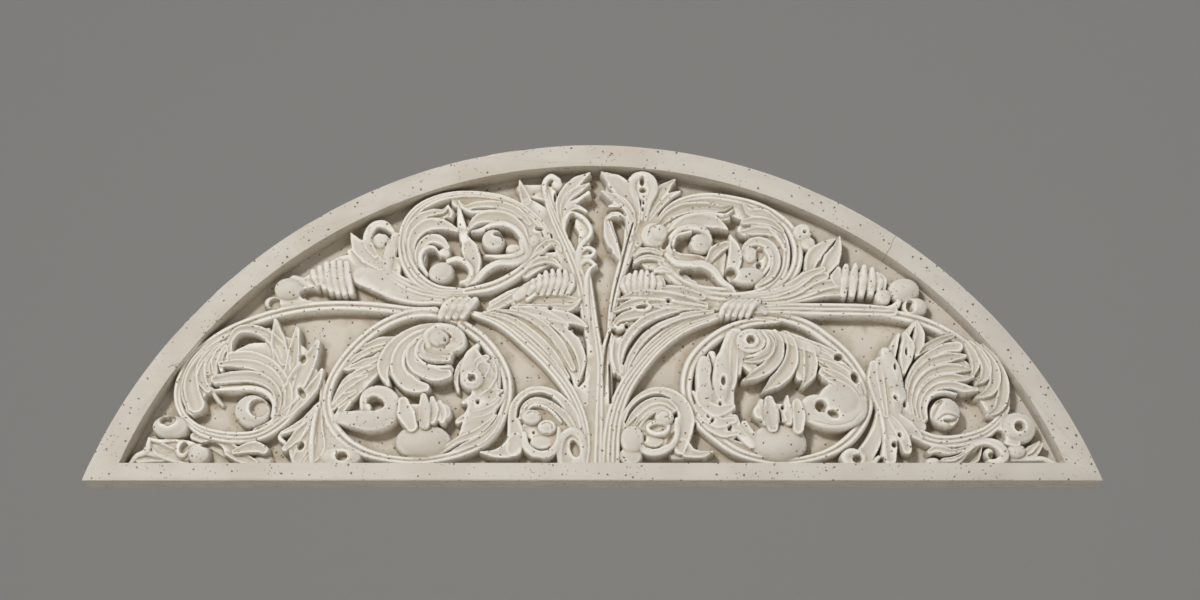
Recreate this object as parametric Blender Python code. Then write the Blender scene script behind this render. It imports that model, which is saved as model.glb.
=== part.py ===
"""Carved lunette panel in pale limestone: a segment of a circle with a raised border round a sunk field
of acanthus scrolls, cut from one block. The back lies in the XZ plane and the face looks along -Y."""

import bmesh
import bpy
import numpy as np

# Driving dimensions of the block, in metres
WIDTH = 1.500
RISE = 0.5094
BORDER = 0.032
BORDER_FLARE = 0.012
RAIL = 0.026
RECESS = 0.055
BACKING = 0.025
CARVING_HEIGHT = 0.054
FIXING_HEIGHT = 0.200

# Fineness of the faceted solid
ARCH_SIDES = 72
RASTER = 2.5
FACETS = 8600

# The carving is drawn in units of a thousandth of a metre on a face of these sizes. Its places are shares
# of the field and its heights are shares of CARVING_HEIGHT.
DRAWN_HALF_FIELD = 690.0
DRAWN_RAIL = 26.0
DRAWN_TOP = 477.4
DRAWN_HEIGHT = 54.0
WALL_RUN = 2.6
BED_SHARE = 0.5
LAP_SHARE = 0.2

# Sections of the members, in drawn units or as shares of a member's half-width
RIM_WIDTH = 2.2
RIM_SHARE = 0.6
LOBE_HOLLOW = 0.45
REED_HOLLOW = 0.9
REED_ROUNDNESS = 0.98
RIB_FALL = 0.7
STEP = 1.5
BUD_RIBS = 7

STONE_COLOUR = (0.73, 0.69, 0.61, 1.0)
STONE_ROUGHNESS = 0.85

# Places on the left half, with how far the same motif stands outward and up on the right half: the carver
# cut the right half by eye, round a stem that stands a little right of the middle.
DRIFT = (
    (10, 27, 20, 0), (12, 160, 18, 0), (89, 98, 18, 0), (34, 50, 24, 0), (165, 45, 10, -2),
    (127, 140, 20, -5), (251, 62, 22, -2), (246, 104, 32, -3), (225, 215, 11, -2), (324, 117, 14, -7),
    (395, 130, 14, 0), (240, 257, 0, -10), (374, 39, 18, -3), (415, 32, 26, -4), (505, 108, 16, 0),
    (470, 230, 10, -5), (626, 83, 6, -3), (617, 130, 2, 0), (400, 267, 0, -10), (455, 292, 12, 0),
    (317, 374, 2, 4), (390, 310, 8, -6), (286, 350, 22, -8), (160, 441, 10, 0), (70, 364, 28, -12),
    (57, 457, 18, 1), (12, 290, 20, 0), (205, 262, 18, -3), (225, 330, 14, -6), (152, 366, 4, 0),
)


def arch_height(x, inset=0.0):
    """Height of the arch over the bottom edge at x, for the circle drawn inset by that much."""
    radius = (WIDTH**2 / 4 + RISE**2) / (2 * RISE)
    return RISE - radius + np.sqrt(np.maximum((radius - inset) ** 2 - np.square(x), 0.0))


def field_height(x):
    """Height of the field's arched edge at x: the border widens a little towards its two ends."""
    reach = np.minimum(np.abs(x) / (WIDTH / 2 - BORDER_FLARE), 1.0)
    return arch_height(x, BORDER + BORDER_FLARE * reach**9)


def half_field():
    """Distance from the middle to the corner where the arched edge meets the rail."""
    x = np.linspace(WIDTH / 4, WIDTH / 2, 4000)
    return float(x[np.argmax(field_height(x) <= RAIL)])


def smooth_path(points, step):
    """Points a step apart on the curve through the given ones (centripetal Catmull-Rom)."""
    p = np.asarray(points, float)
    p = np.vstack([2 * p[0] - p[1], p, 2 * p[-1] - p[-2]])
    knots = np.concatenate([[0.0], np.cumsum(np.hypot(*np.diff(p, axis=0).T) ** 0.5)])
    dense = []
    for i in range(1, len(p) - 2):
        t = np.linspace(knots[i], knots[i + 1], 14, endpoint=False)[:, None]
        k0, k1, k2, k3 = knots[i - 1 : i + 3]
        a1 = ((k1 - t) * p[i - 1] + (t - k0) * p[i]) / (k1 - k0)
        a2 = ((k2 - t) * p[i] + (t - k1) * p[i + 1]) / (k2 - k1)
        a3 = ((k3 - t) * p[i + 1] + (t - k2) * p[i + 2]) / (k3 - k2)
        b1 = ((k2 - t) * a1 + (t - k0) * a2) / (k2 - k0)
        b2 = ((k3 - t) * a2 + (t - k1) * a3) / (k3 - k1)
        dense.append(((k2 - t) * b1 + (t - k1) * b2) / (k2 - k1))
    dense = np.vstack(dense + [p[-2:-1]])
    run = np.concatenate([[0.0], np.cumsum(np.hypot(*np.diff(dense, axis=0).T))])
    at = np.linspace(0.0, run[-1], max(int(np.ceil(run[-1] / step)) + 1, 3))
    return np.column_stack([np.interp(at, run, dense[:, 0]), np.interp(at, run, dense[:, 1])])


class Relief:
    """Heights of the carving over its ground, on an even raster of the drawn face."""

    def __init__(self, left, right, low, high, pitch):
        self.left, self.low, self.pitch = left, low, pitch
        self.columns = int(round((right - left) / pitch)) + 1
        self.rows = int(round((high - low) / pitch)) + 1
        self.height = np.zeros((self.rows, self.columns))

    def window(self, low, high):
        """Columns and rows of the raster between two corners."""
        c0 = max(int(np.floor((low[0] - self.left) / self.pitch)), 0)
        c1 = min(int(np.ceil((high[0] - self.left) / self.pitch)) + 1, self.columns)
        r0 = max(int(np.floor((low[1] - self.low) / self.pitch)), 0)
        r1 = min(int(np.ceil((high[1] - self.low) / self.pitch)) + 1, self.rows)
        return c0, max(c1, c0), r0, max(r1, r0)

    def grid(self, window):
        """Places of the raster's points in a window."""
        c0, c1, r0, r1 = window
        return self.left + self.pitch * np.arange(c0, c1), self.low + self.pitch * np.arange(r0, r1)

    def along(self, path, half):
        """Share of the way along the path, side offset in half-widths, half-width and distance outside."""
        reach = half.max() + WALL_RUN
        window = self.window(path.min(0) - reach, path.max(0) + reach)
        xs, zs = self.grid(window)
        step = np.diff(path, axis=0)
        run = np.concatenate([[0.0], np.cumsum(np.hypot(*step.T))])
        turn = np.vstack([step[:1], step[:-1] + step[1:], step[-1:]])
        turn /= np.hypot(*turn.T)[:, None]
        dx, dz = xs[None, :, None] - path[:, 0], zs[:, None, None] - path[:, 1]
        near = (np.hypot(dx, dz) - half).argmin(2)
        dx, dz = xs[None, :] - path[near, 0], zs[:, None] - path[near, 1]
        forward = dx * turn[near, 0] + dz * turn[near, 1]
        side = dz * turn[near, 0] - dx * turn[near, 1]
        beyond = ((near == 0) & (forward < 0)) | ((near == len(path) - 1) & (forward > 0))
        away = np.where(beyond, np.hypot(dx, dz), np.abs(side))
        share = np.clip((run[near] + np.where(beyond, 0.0, forward)) / run[-1], 0.0, 1.0)
        width = np.interp(share, run / run[-1], half)
        across = away / width
        return window, share, np.clip(across, 0.0, 1.0), np.sign(side) * across, width, away - width

    def stroke(self, points, half_widths, tops, cut="gouge", reeds=1, depth=None, sink=False):
        """Raises one member along a path, or sinks the face to the given levels along it.

        half_widths and tops are spread evenly along the path. cut names the section across it: gouge is a
        hollow between raised rims, reed is a number of rounds side by side, round is one, flat is level.
        """
        path = smooth_path(points, max(self.pitch, STEP))
        share = np.linspace(0.0, 1.0, len(path))
        half = np.interp(share, np.linspace(0, 1, len(half_widths)), half_widths)
        window, share, across, side, width, outside = self.along(path, half)
        top = np.interp(share, np.linspace(0, 1, len(tops)), tops)
        if cut == "gouge":
            rim = np.minimum(RIM_WIDTH, width * RIM_SHARE)
            hollow = (width * LOBE_HOLLOW if depth is None else depth) * np.cos(across * np.pi / 2) ** 1.5
            inward = np.maximum(rim - (1 - across) * width, 0)
            fall = hollow + rim - np.sqrt(np.maximum(rim**2 - inward**2, 0))
        elif cut == "reed":
            wave = np.clip(np.abs((side + 1) / 2 * reeds % 1 * 2 - 1), 0, 1)
            wave = np.where(across >= 1, 1, wave)
            fall = width / reeds * REED_HOLLOW * (1 - np.sqrt(1 - REED_ROUNDNESS * wave**2))
        elif cut == "round":
            fall = width * RIB_FALL * (1 - np.sqrt(1 - across**2))
        else:
            fall = 0.0 * across
        c0, c1, r0, r1 = window
        part = self.height[r0:r1, c0:c1]
        wall = np.clip(outside / WALL_RUN, 0.0, 1.0)
        if sink:
            part[:] = np.where(wall < 1, np.minimum(part, top + wall * DRAWN_HEIGHT), part)
        else:
            part[:] = np.maximum(part, (top - fall) * (1 - wall))

    def oval(self, x, z, rx, rz, lean):
        """Window round an oval, its radius share there and how far outside it is."""
        reach = max(rx, rz) + WALL_RUN
        window = self.window((x - reach, z - reach), (x + reach, z + reach))
        xs, zs = self.grid(window)
        dx, dz = xs[None, :] - x, zs[:, None] - z
        c, s = np.cos(np.radians(lean)), np.sin(np.radians(lean))
        share = np.hypot((dx * c + dz * s) / rx, (dz * c - dx * s) / rz)
        return window, share, np.clip((share - 1) * min(rx, rz) / WALL_RUN, 0.0, 1.0)

    def dome(self, x, z, rx, rz, top, lean=0.0, fullness=1.0):
        """Raises a rounded boss."""
        (c0, c1, r0, r1), share, wall = self.oval(x, z, rx, rz, lean)
        fall = fullness * min(rx, rz) * (1 - np.sqrt(1 - np.clip(share, 0, 1) ** 2))
        part = self.height[r0:r1, c0:c1]
        part[:] = np.maximum(part, (top - fall) * (1 - wall))

    def hole(self, x, z, rx, rz, level, lean=0.0):
        """Drills an oval hole down to a level."""
        (c0, c1, r0, r1), share, wall = self.oval(x, z, rx, rz, lean)
        part = self.height[r0:r1, c0:c1]
        part[:] = np.minimum(part, level + wall * DRAWN_HEIGHT)


class Half:
    """Draws motifs on one half of the panel, from places given outward from the middle and up."""

    def __init__(self, relief, sign, drift):
        self.relief, self.sign, self.drift = relief, sign, np.array(drift, float)

    def at(self, x, z):
        """Place on the panel of a drawn place."""
        if len(self.drift):
            weight = 1.0 / (np.hypot(self.drift[:, 0] - x, self.drift[:, 1] - z) + 4.0) ** 3
            x, z = np.array([x, z]) + weight @ self.drift[:, 2:] / weight.sum()
        return self.sign * x, z

    def draw(self, points, half_widths, tops, **options):
        """One member along drawn points. A width or a top given alone holds all the way."""
        widths, levels = np.atleast_1d(half_widths), np.atleast_1d(tops)
        self.relief.stroke([self.at(*p) for p in points], widths, levels, **options)

    def leaf(self, points, half_widths, tops, depth=None):
        """A lobe hollowed along its middle."""
        self.draw(points, half_widths, tops, depth=depth)

    def reed(self, points, half_widths, tops, count=2):
        """A stem or band of reeds."""
        self.draw(points, half_widths, tops, cut="reed", reeds=count)

    def rib(self, points, half_widths, tops):
        """A rounded rib."""
        self.draw(points, half_widths, tops, cut="round")

    def trench(self, points, half_widths, level):
        """A cut down to a level."""
        self.draw(points, half_widths, level, cut="flat", sink=True)

    def dome(self, x, z, rx, rz, top, lean=0.0, fullness=1.0):
        """A boss."""
        self.relief.dome(*self.at(x, z), rx, rz, top, lean * self.sign, fullness)

    def hole(self, x, z, rx, rz, level, lean=0.0):
        """A drilled eye."""
        self.relief.hole(*self.at(x, z), rx, rz, level, lean * self.sign)


def corner_leaf(half):
    """The leaf, bosses and curled lobe that fill the sharp corner."""
    half.leaf([(653, 60), (640, 50), (622, 42), (602, 33)], [7, 11, 10, 3], [30, 32, 28, 20])
    half.rib([(688, 28), (674, 41), (661, 47), (656, 66)], [3, 4, 5, 2], [20, 30, 34, 38])
    half.rib([(656, 65), (640, 62), (622, 64), (611, 62)], [2.5, 3, 3, 2], [36, 33, 32, 30])
    half.rib([(660, 45), (640, 40), (618, 33), (600, 28)], [4, 4, 4, 3], [32, 30, 26, 22])
    half.dome(608, 50, 10, 13, 36, fullness=0.5)
    half.hole(605, 52, 5, 8, 16, lean=20)
    half.dome(626, 83, 26, 17, 50, fullness=1.0)
    half.hole(634, 91, 5, 5, 22)
    half.hole(624, 92, 7, 7, 22)
    half.hole(627, 87, 4, 4, 22)
    half.dome(583, 43, 16, 16, 42)
    half.leaf(
        [(592, 70), (562, 62), (538, 50), (518, 38), (500, 31)], [5, 9, 11, 10, 5],
        [30, 34, 34, 30, 26],
    )
    half.leaf([(530, 46), (512, 51), (496, 52), (486, 48)], [4, 7, 9, 7], [34, 38, 42, 42], depth=2)
    half.dome(489, 36, 14, 9, 24)
    half.trench([(576, 57), (566, 57), (555, 50), (547, 38)], [3, 6, 6, 3], 8)


def corner_ring(half):
    """The long stem that coils into the outer scroll, with its fan and upright spray."""
    half.reed(
        [(235, 262), (270, 260), (300, 263), (350, 267), (400, 267), (450, 261), (500, 247),
         (550, 224), (590, 193), (611, 160), (617, 130), (610, 105), (594, 87)],
        [5, 7, 8, 8, 8, 8, 8, 8, 8, 8, 7, 6, 5], [30, 32, 34, 34, 34, 34, 34, 34, 36, 36, 36, 34, 32],
    )
    half.reed(
        [(604, 96), (585, 80), (560, 71), (525, 67), (495, 71), (468, 86), (445, 108), (425, 135)],
        [5, 8, 9, 9, 9, 9, 8, 7], [34, 36, 36, 36, 36, 36, 36, 36], count=3,
    )
    half.leaf(
        [(548, 222), (575, 203), (597, 176), (606, 148), (604, 122), (594, 104)], [3, 4, 5, 5, 5, 4],
        [34, 36, 38, 38, 38, 36], depth=1.5,
    )
    half.leaf(
        [(560, 207), (583, 185), (595, 160), (595, 138), (588, 116)], [4, 6, 8, 12, 13],
        [34, 38, 42, 44, 42],
    )
    half.leaf(
        [(556, 208), (574, 190), (583, 170), (580, 152), (571, 138)], [3, 5, 7, 8, 5],
        [34, 38, 40, 42, 40],
    )
    half.leaf([(550, 210), (565, 195), (573, 178), (572, 164)], [3, 4, 5, 4], [36, 38, 40, 40])
    half.leaf([(545, 212), (557, 198), (563, 180), (561, 164)], [3, 4, 5, 4], [36, 38, 40, 40])
    half.leaf([(540, 212), (550, 196), (554, 180), (552, 168)], [3, 3.5, 4, 3], [36, 38, 40, 38])
    half.leaf(
        [(541, 190), (540, 212), (528, 228), (508, 230), (488, 223), (470, 207), (458, 185)],
        [4, 5, 6, 7, 8, 10, 10], [36, 40, 42, 42, 42, 40, 38],
    )
    half.leaf(
        [(538, 188), (505, 183), (475, 171), (456, 150), (451, 128), (457, 105), (475, 88), (500, 78)],
        [2, 4, 6, 7, 7, 7, 6, 4], [32, 36, 38, 38, 38, 38, 36, 32],
    )
    half.leaf(
        [(551, 178), (530, 177), (500, 174), (475, 162), (461, 140), (459, 118)], [4, 7, 8, 8, 7, 5],
        [36, 40, 40, 40, 38, 36],
    )
    half.leaf(
        [(555, 152), (530, 157), (500, 156), (477, 146), (465, 128), (467, 106)], [5, 8, 9, 8, 6, 4],
        [38, 42, 44, 44, 42, 38],
    )
    half.rib(
        [(560, 138), (530, 139), (500, 139), (482, 132), (472, 118), (474, 98)], [2, 3.5, 4, 4, 4, 3],
        [38, 44, 46, 46, 44, 38],
    )
    half.rib([(566, 140), (560, 128), (552, 119)], [3, 3, 2], [36, 26, 16])
    half.dome(505, 107, 26, 24, 50, fullness=0.8)
    half.hole(494, 110, 13, 13, 26)
    half.leaf([(470, 190), (480, 210), (484, 230)], [8, 8, 3], 36)
    half.leaf([(452, 150), (462, 180), (468, 210), (473, 243)], [8, 12, 12, 3], [36, 38, 42, 44])
    half.leaf([(455, 130), (449, 165), (444, 200), (440, 229)], [7, 10, 9, 4], [36, 38, 42, 44])
    half.leaf(
        [(472, 100), (452, 128), (434, 160), (418, 188), (409, 210)], [6, 12, 15, 12, 4],
        [34, 38, 42, 44, 44],
    )
    half.leaf(
        [(472, 90), (442, 112), (421, 134), (408, 153), (402, 168)], [5, 7, 8, 8, 3],
        [36, 38, 40, 42, 42],
    )
    half.hole(431, 185, 4, 6, 18)
    half.hole(432, 134, 4, 8, 14, lean=-30)


def low_spray(half):
    """The spray and eyed lobe between the two scrolls, on the rail."""
    half.leaf(
        [(402, 155), (401, 120), (396, 90), (386, 62), (374, 45)], [3, 5, 9, 13, 16],
        [30, 30, 30, 32, 34], depth=1,
    )
    half.dome(374, 39, 32, 15, 40, fullness=0.8)
    half.hole(371, 39, 8, 6, 14)
    half.leaf([(406, 118), (425, 94), (446, 80), (460, 74)], [3, 5, 5, 3], [36, 38, 38, 36])
    half.rib([(460, 76), (464, 68), (456, 60)], 3, 30)
    half.leaf([(406, 114), (424, 86), (440, 66), (456, 50)], [3, 6, 8, 4], [36, 38, 38, 36])
    half.leaf([(408, 112), (417, 85), (426, 58), (437, 34)], [3, 6, 10, 8], [36, 38, 38, 34])
    half.leaf([(404, 112), (405, 80), (404, 52), (420, 30)], [3, 6, 9, 8], [34, 36, 36, 34])
    half.rib([(408, 115), (414, 80), (416, 50), (415, 32)], [2, 3, 4, 4], [38, 42, 42, 36])
    half.hole(432, 55, 4, 6, 14, lean=20)


def large_ring(half):
    """The large reeded ring with its horn curl, fruit and crest leaf."""
    half.reed(
        [(205, 247), (240, 257), (275, 254), (310, 240), (345, 214), (374, 180), (390, 150),
         (395, 120), (388, 90), (370, 66), (340, 47), (300, 36), (250, 33), (205, 41), (170, 55),
         (148, 74), (134, 100), (126, 130), (128, 160), (142, 190), (165, 218), (195, 240)],
        [7, 8, 8, 8, 8, 8, 7, 7, 9, 9, 8, 6, 6, 6, 7, 7, 7, 7, 8, 9, 9, 8],
        [30, 32, 34, 34, 34, 34, 34, 34, 34, 34, 34, 32, 32, 34, 36, 36, 36, 34, 32, 30, 30, 30],
    )
    half.leaf([(289, 216), (318, 212), (344, 203)], [4, 7, 3], [36, 36, 30])
    half.leaf([(300, 210), (330, 199), (352, 188), (370, 171)], [3, 5, 5, 2], [36, 36, 34, 30])
    half.leaf([(312, 190), (340, 179), (366, 171)], [3, 7, 3], [38, 38, 32])
    half.leaf([(318, 177), (345, 166), (368, 152), (379, 138)], [2, 5, 5, 2], [38, 38, 36, 32])
    half.leaf([(336, 160), (358, 150), (376, 134), (387, 116)], [3, 6, 6, 2], [38, 38, 36, 32])
    half.leaf([(352, 136), (372, 126), (386, 112)], [3, 6, 4], [38, 36, 32])
    half.leaf([(360, 121), (372, 109), (382, 94)], [3, 6, 4], [38, 36, 32])
    half.rib(
        [(376, 97), (352, 94), (325, 92), (303, 100), (296, 116), (305, 131), (325, 136), (338, 127),
         (340, 113)], [9, 13, 16, 16, 14, 12, 10, 8, 6], [38, 44, 46, 46, 44, 42, 40, 38, 34],
    )
    half.hole(324, 118, 9, 11, 16)
    half.hole(333, 111, 7, 6, 18)
    half.dome(251, 62, 41, 27, 46, fullness=0.9)
    half.dome(272, 98, 11, 22, 50, lean=10, fullness=0.8)
    half.dome(250, 104, 12, 22, 52, fullness=0.8)
    half.dome(234, 106, 9, 17, 46, fullness=0.8)
    half.dome(221, 101, 8, 16, 40, lean=-20, fullness=0.8)
    half.leaf(
        [(225, 236), (255, 231), (285, 216), (305, 192), (312, 168), (302, 148)], [3, 5, 7, 8, 9, 5],
        [36, 38, 40, 42, 42, 40],
    )
    half.leaf(
        [(235, 231), (262, 222), (284, 202), (291, 178), (284, 158), (266, 143), (250, 142)],
        [3, 4, 6, 8, 11, 15, 9], [38, 40, 42, 44, 46, 46, 44],
    )
    half.leaf(
        [(238, 228), (260, 216), (277, 196), (278, 176), (266, 163)], [2, 4, 5, 6, 6],
        [38, 42, 44, 46, 46],
    )
    half.leaf(
        [(240, 225), (256, 212), (268, 192), (262, 174), (245, 164), (226, 158), (214, 160)],
        [2, 4, 6, 8, 11, 12, 8], [40, 42, 46, 48, 50, 50, 48],
    )
    half.leaf(
        [(248, 218), (256, 202), (252, 190), (238, 184), (222, 183), (213, 184)], [3, 5, 7, 7, 6, 4],
        [44, 46, 50, 52, 52, 50],
    )
    half.rib(
        [(246, 205), (247, 222), (232, 232), (210, 230), (196, 219), (197, 206), (212, 200)],
        [5, 5, 5, 7, 9, 9, 8], [46, 48, 48, 48, 48, 46, 44],
    )
    half.dome(228, 215, 15, 13, 54, fullness=0.7)
    half.hole(219, 211, 1.8, 1.8, 30)


def large_ring_leaves(half):
    """The leaves inside the large ring, on the side of the middle."""
    half.leaf(
        [(192, 120), (176, 130), (155, 150), (148, 168), (150, 180)], [3, 5, 9, 9, 5],
        [32, 36, 40, 40, 36],
    )
    half.rib([(172, 206), (182, 190), (184, 172), (180, 156)], [4, 9, 13, 17], [34, 38, 42, 46])
    half.dome(179, 155, 18, 17, 48, fullness=0.6)
    half.leaf([(176, 168), (170, 182), (158, 188)], [4, 5, 5], [42, 38, 34])
    half.hole(179, 155, 5, 5, 28)
    half.leaf([(200, 138), (203, 158), (196, 180), (188, 190)], [2, 4, 4, 2], [22, 30, 32, 30])
    half.dome(180, 122, 9, 8, 38)
    half.hole(170, 121, 3, 3, 14)
    half.leaf([(165, 112), (158, 124), (146, 133), (134, 138)], [5, 9, 9, 2], [34, 36, 38, 36])
    half.leaf(
        [(200, 92), (185, 100), (160, 105), (140, 118), (133, 130)], [4, 6, 6, 5, 3],
        [32, 36, 38, 38, 36],
    )
    half.leaf([(188, 82), (170, 90), (152, 98)], [7, 9, 4], [36, 36, 34])
    half.leaf(
        [(225, 45), (200, 62), (172, 74), (152, 90), (143, 100)], [3, 5, 6, 5, 2], [32, 38, 40, 40, 38],
    )
    half.leaf(
        [(215, 40), (190, 53), (164, 64), (147, 80), (136, 100)], [3, 5, 7, 6, 3], [32, 38, 40, 40, 36],
    )


def foot_scroll(half):
    """The small scroll at the foot of the stems."""
    half.leaf([(165, 45), (145, 44), (125, 47), (100, 50)], [3, 8, 10, 4], [30, 34, 34, 28])
    half.leaf(
        [(135, 46), (122, 60), (117, 85), (117, 108), (108, 125), (88, 136), (62, 134), (38, 118),
         (22, 95), (14, 70)], [5, 12, 12, 10, 9, 8, 8, 8, 8, 7],
        [34, 36, 36, 36, 38, 40, 40, 38, 36, 34], depth=2,
    )
    half.rib(
        [(110, 88), (108, 103), (98, 117), (80, 122), (58, 117), (38, 102), (25, 85), (18, 70)],
        [3, 4, 4, 4, 5, 5, 5, 4], [32, 38, 40, 42, 42, 40, 38, 34],
    )
    half.rib(
        [(108, 85), (103, 101), (90, 112), (74, 112), (52, 102), (36, 88), (26, 72)],
        [3, 4, 4, 4, 5, 5, 4], [32, 38, 40, 42, 40, 38, 34],
    )
    half.dome(89, 98, 15, 14, 46)
    half.dome(68, 83, 14, 10, 46, fullness=0.8)
    half.hole(67, 84, 6, 4, 30)
    half.rib(
        [(112, 88), (108, 66), (98, 48), (80, 39), (62, 43), (50, 56), (46, 72)], [6, 8, 9, 8, 7, 6, 4],
        [32, 34, 36, 38, 38, 38, 36],
    )
    half.rib([(100, 80), (92, 62), (78, 52), (66, 50)], [6, 10, 9, 6], [30, 32, 30, 28])
    half.hole(87, 75, 2, 2, 14)
    half.rib(
        [(45, 30), (46, 50), (42, 68), (30, 74), (18, 66), (14, 48), (18, 32)], [5, 5, 6, 6, 5, 5, 4],
        [34, 36, 38, 40, 40, 36, 32],
    )
    half.dome(34, 48, 14, 22, 34, fullness=0.4)
    half.hole(27, 51, 7, 14, 10, lean=-18)


def stem_bundle(half):
    """The stems that rise from the middle of the rail and sweep outward to the tie."""
    half.reed(
        [(178, 256), (140, 243), (100, 212), (60, 172), (30, 130), (14, 90), (9, 55), (12, 27)],
        [4, 8, 9, 9, 9, 8, 7, 6], [30, 32, 34, 34, 36, 36, 36, 34], count=3,
    )
    half.leaf(
        [(150, 252), (110, 243), (70, 228), (38, 200), (18, 165)], [3, 9, 13, 15, 12],
        [30, 30, 32, 34, 36], depth=2,
    )
    half.leaf(
        [(120, 258), (80, 248), (45, 228), (20, 200), (10, 170), (12, 145)], [3, 5, 8, 10, 7, 2],
        [30, 32, 34, 36, 36, 30], depth=2,
    )
    half.leaf(
        [(120, 262), (85, 255), (50, 246), (25, 240), (8, 230)], [3, 8, 12, 12, 3],
        [30, 34, 38, 38, 38],
    )
    half.hole(32, 231, 3, 3, 14)
    half.trench([(26, 226), (17, 223), (9, 227)], [2, 5, 2], 8)
    half.leaf(
        [(110, 266), (80, 262), (55, 262), (30, 264), (18, 275)], [4, 6, 7, 7, 2], [34, 36, 38, 38, 38],
    )


def tie(half):
    """The band that ties the stems."""
    for rib in range(4):
        x = 220 - 11 * rib
        half.rib([(x + 7, 250), (x, 262), (x - 12, 275)], [5, 7, 5], [40, 47, 42])
    half.rib([(196, 251), (186, 262), (178, 268)], [5, 7, 4], [36, 42, 38])


def shoulder_buds(half):
    """The bosses, ribbed bud and leaves over the long stem."""
    half.dome(455, 292, 22, 18, 46)
    half.rib([(445, 300), (425, 303), (405, 300)], [10, 10, 8], 32)
    half.dome(477, 272, 15, 10, 36)
    half.hole(475, 270, 9, 8, 16)
    half.rib([(462, 272), (440, 272), (410, 271), (380, 272)], [7, 8, 4, 3], [34, 34, 24, 18])
    half.hole(422, 283, 15, 8, 6)
    for rib in range(BUD_RIBS):
        share = rib / (BUD_RIBS - 1)
        x = 420 - 60 * share
        top = 312 + 20 * np.sin(min(share * 1.8, 1) * np.pi / 2)
        foot = 289 - 2 * share
        half.rib([(x - 4, top), (x + 5, (top + 290) / 2), (x - 2, foot)], [3, 6, 3], [34, 42, 36])
    half.leaf([(330, 330), (345, 345), (355, 360), (361, 376)], [10, 15, 12, 2], [32, 34, 36, 38])
    half.leaf([(355, 322), (340, 330), (325, 330), (310, 320)], [3, 8, 10, 8], [30, 32, 32, 30])
    half.leaf([(318, 340), (328, 360), (336, 374)], [8, 12, 6], [34, 38, 38])
    half.dome(317, 374, 22, 19, 44, fullness=0.7)
    half.rib([(300, 318), (304, 340), (300, 362), (292, 370)], [8, 12, 10, 4], [34, 38, 38, 36])
    half.hole(316, 382, 4, 3, 20)
    half.hole(310, 358, 3, 3, 20)


def shoulder_strands(half):
    """The strands that run from the tie into the shoulder."""
    half.reed(
        [(360, 306), (335, 300), (300, 284), (265, 275), (235, 274), (210, 272)], [3, 6, 7, 6, 5, 4],
        [30, 32, 34, 34, 34, 32], count=2,
    )
    half.reed(
        [(350, 316), (325, 311), (295, 297), (262, 284), (230, 279), (200, 277)], [3, 7, 8, 7, 6, 4],
        [30, 34, 34, 34, 34, 32], count=2,
    )
    half.reed(
        [(330, 332), (308, 318), (283, 302), (255, 290), (225, 284), (190, 282)], [3, 8, 9, 8, 6, 4],
        [32, 34, 36, 36, 34, 32], count=3,
    )


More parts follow.
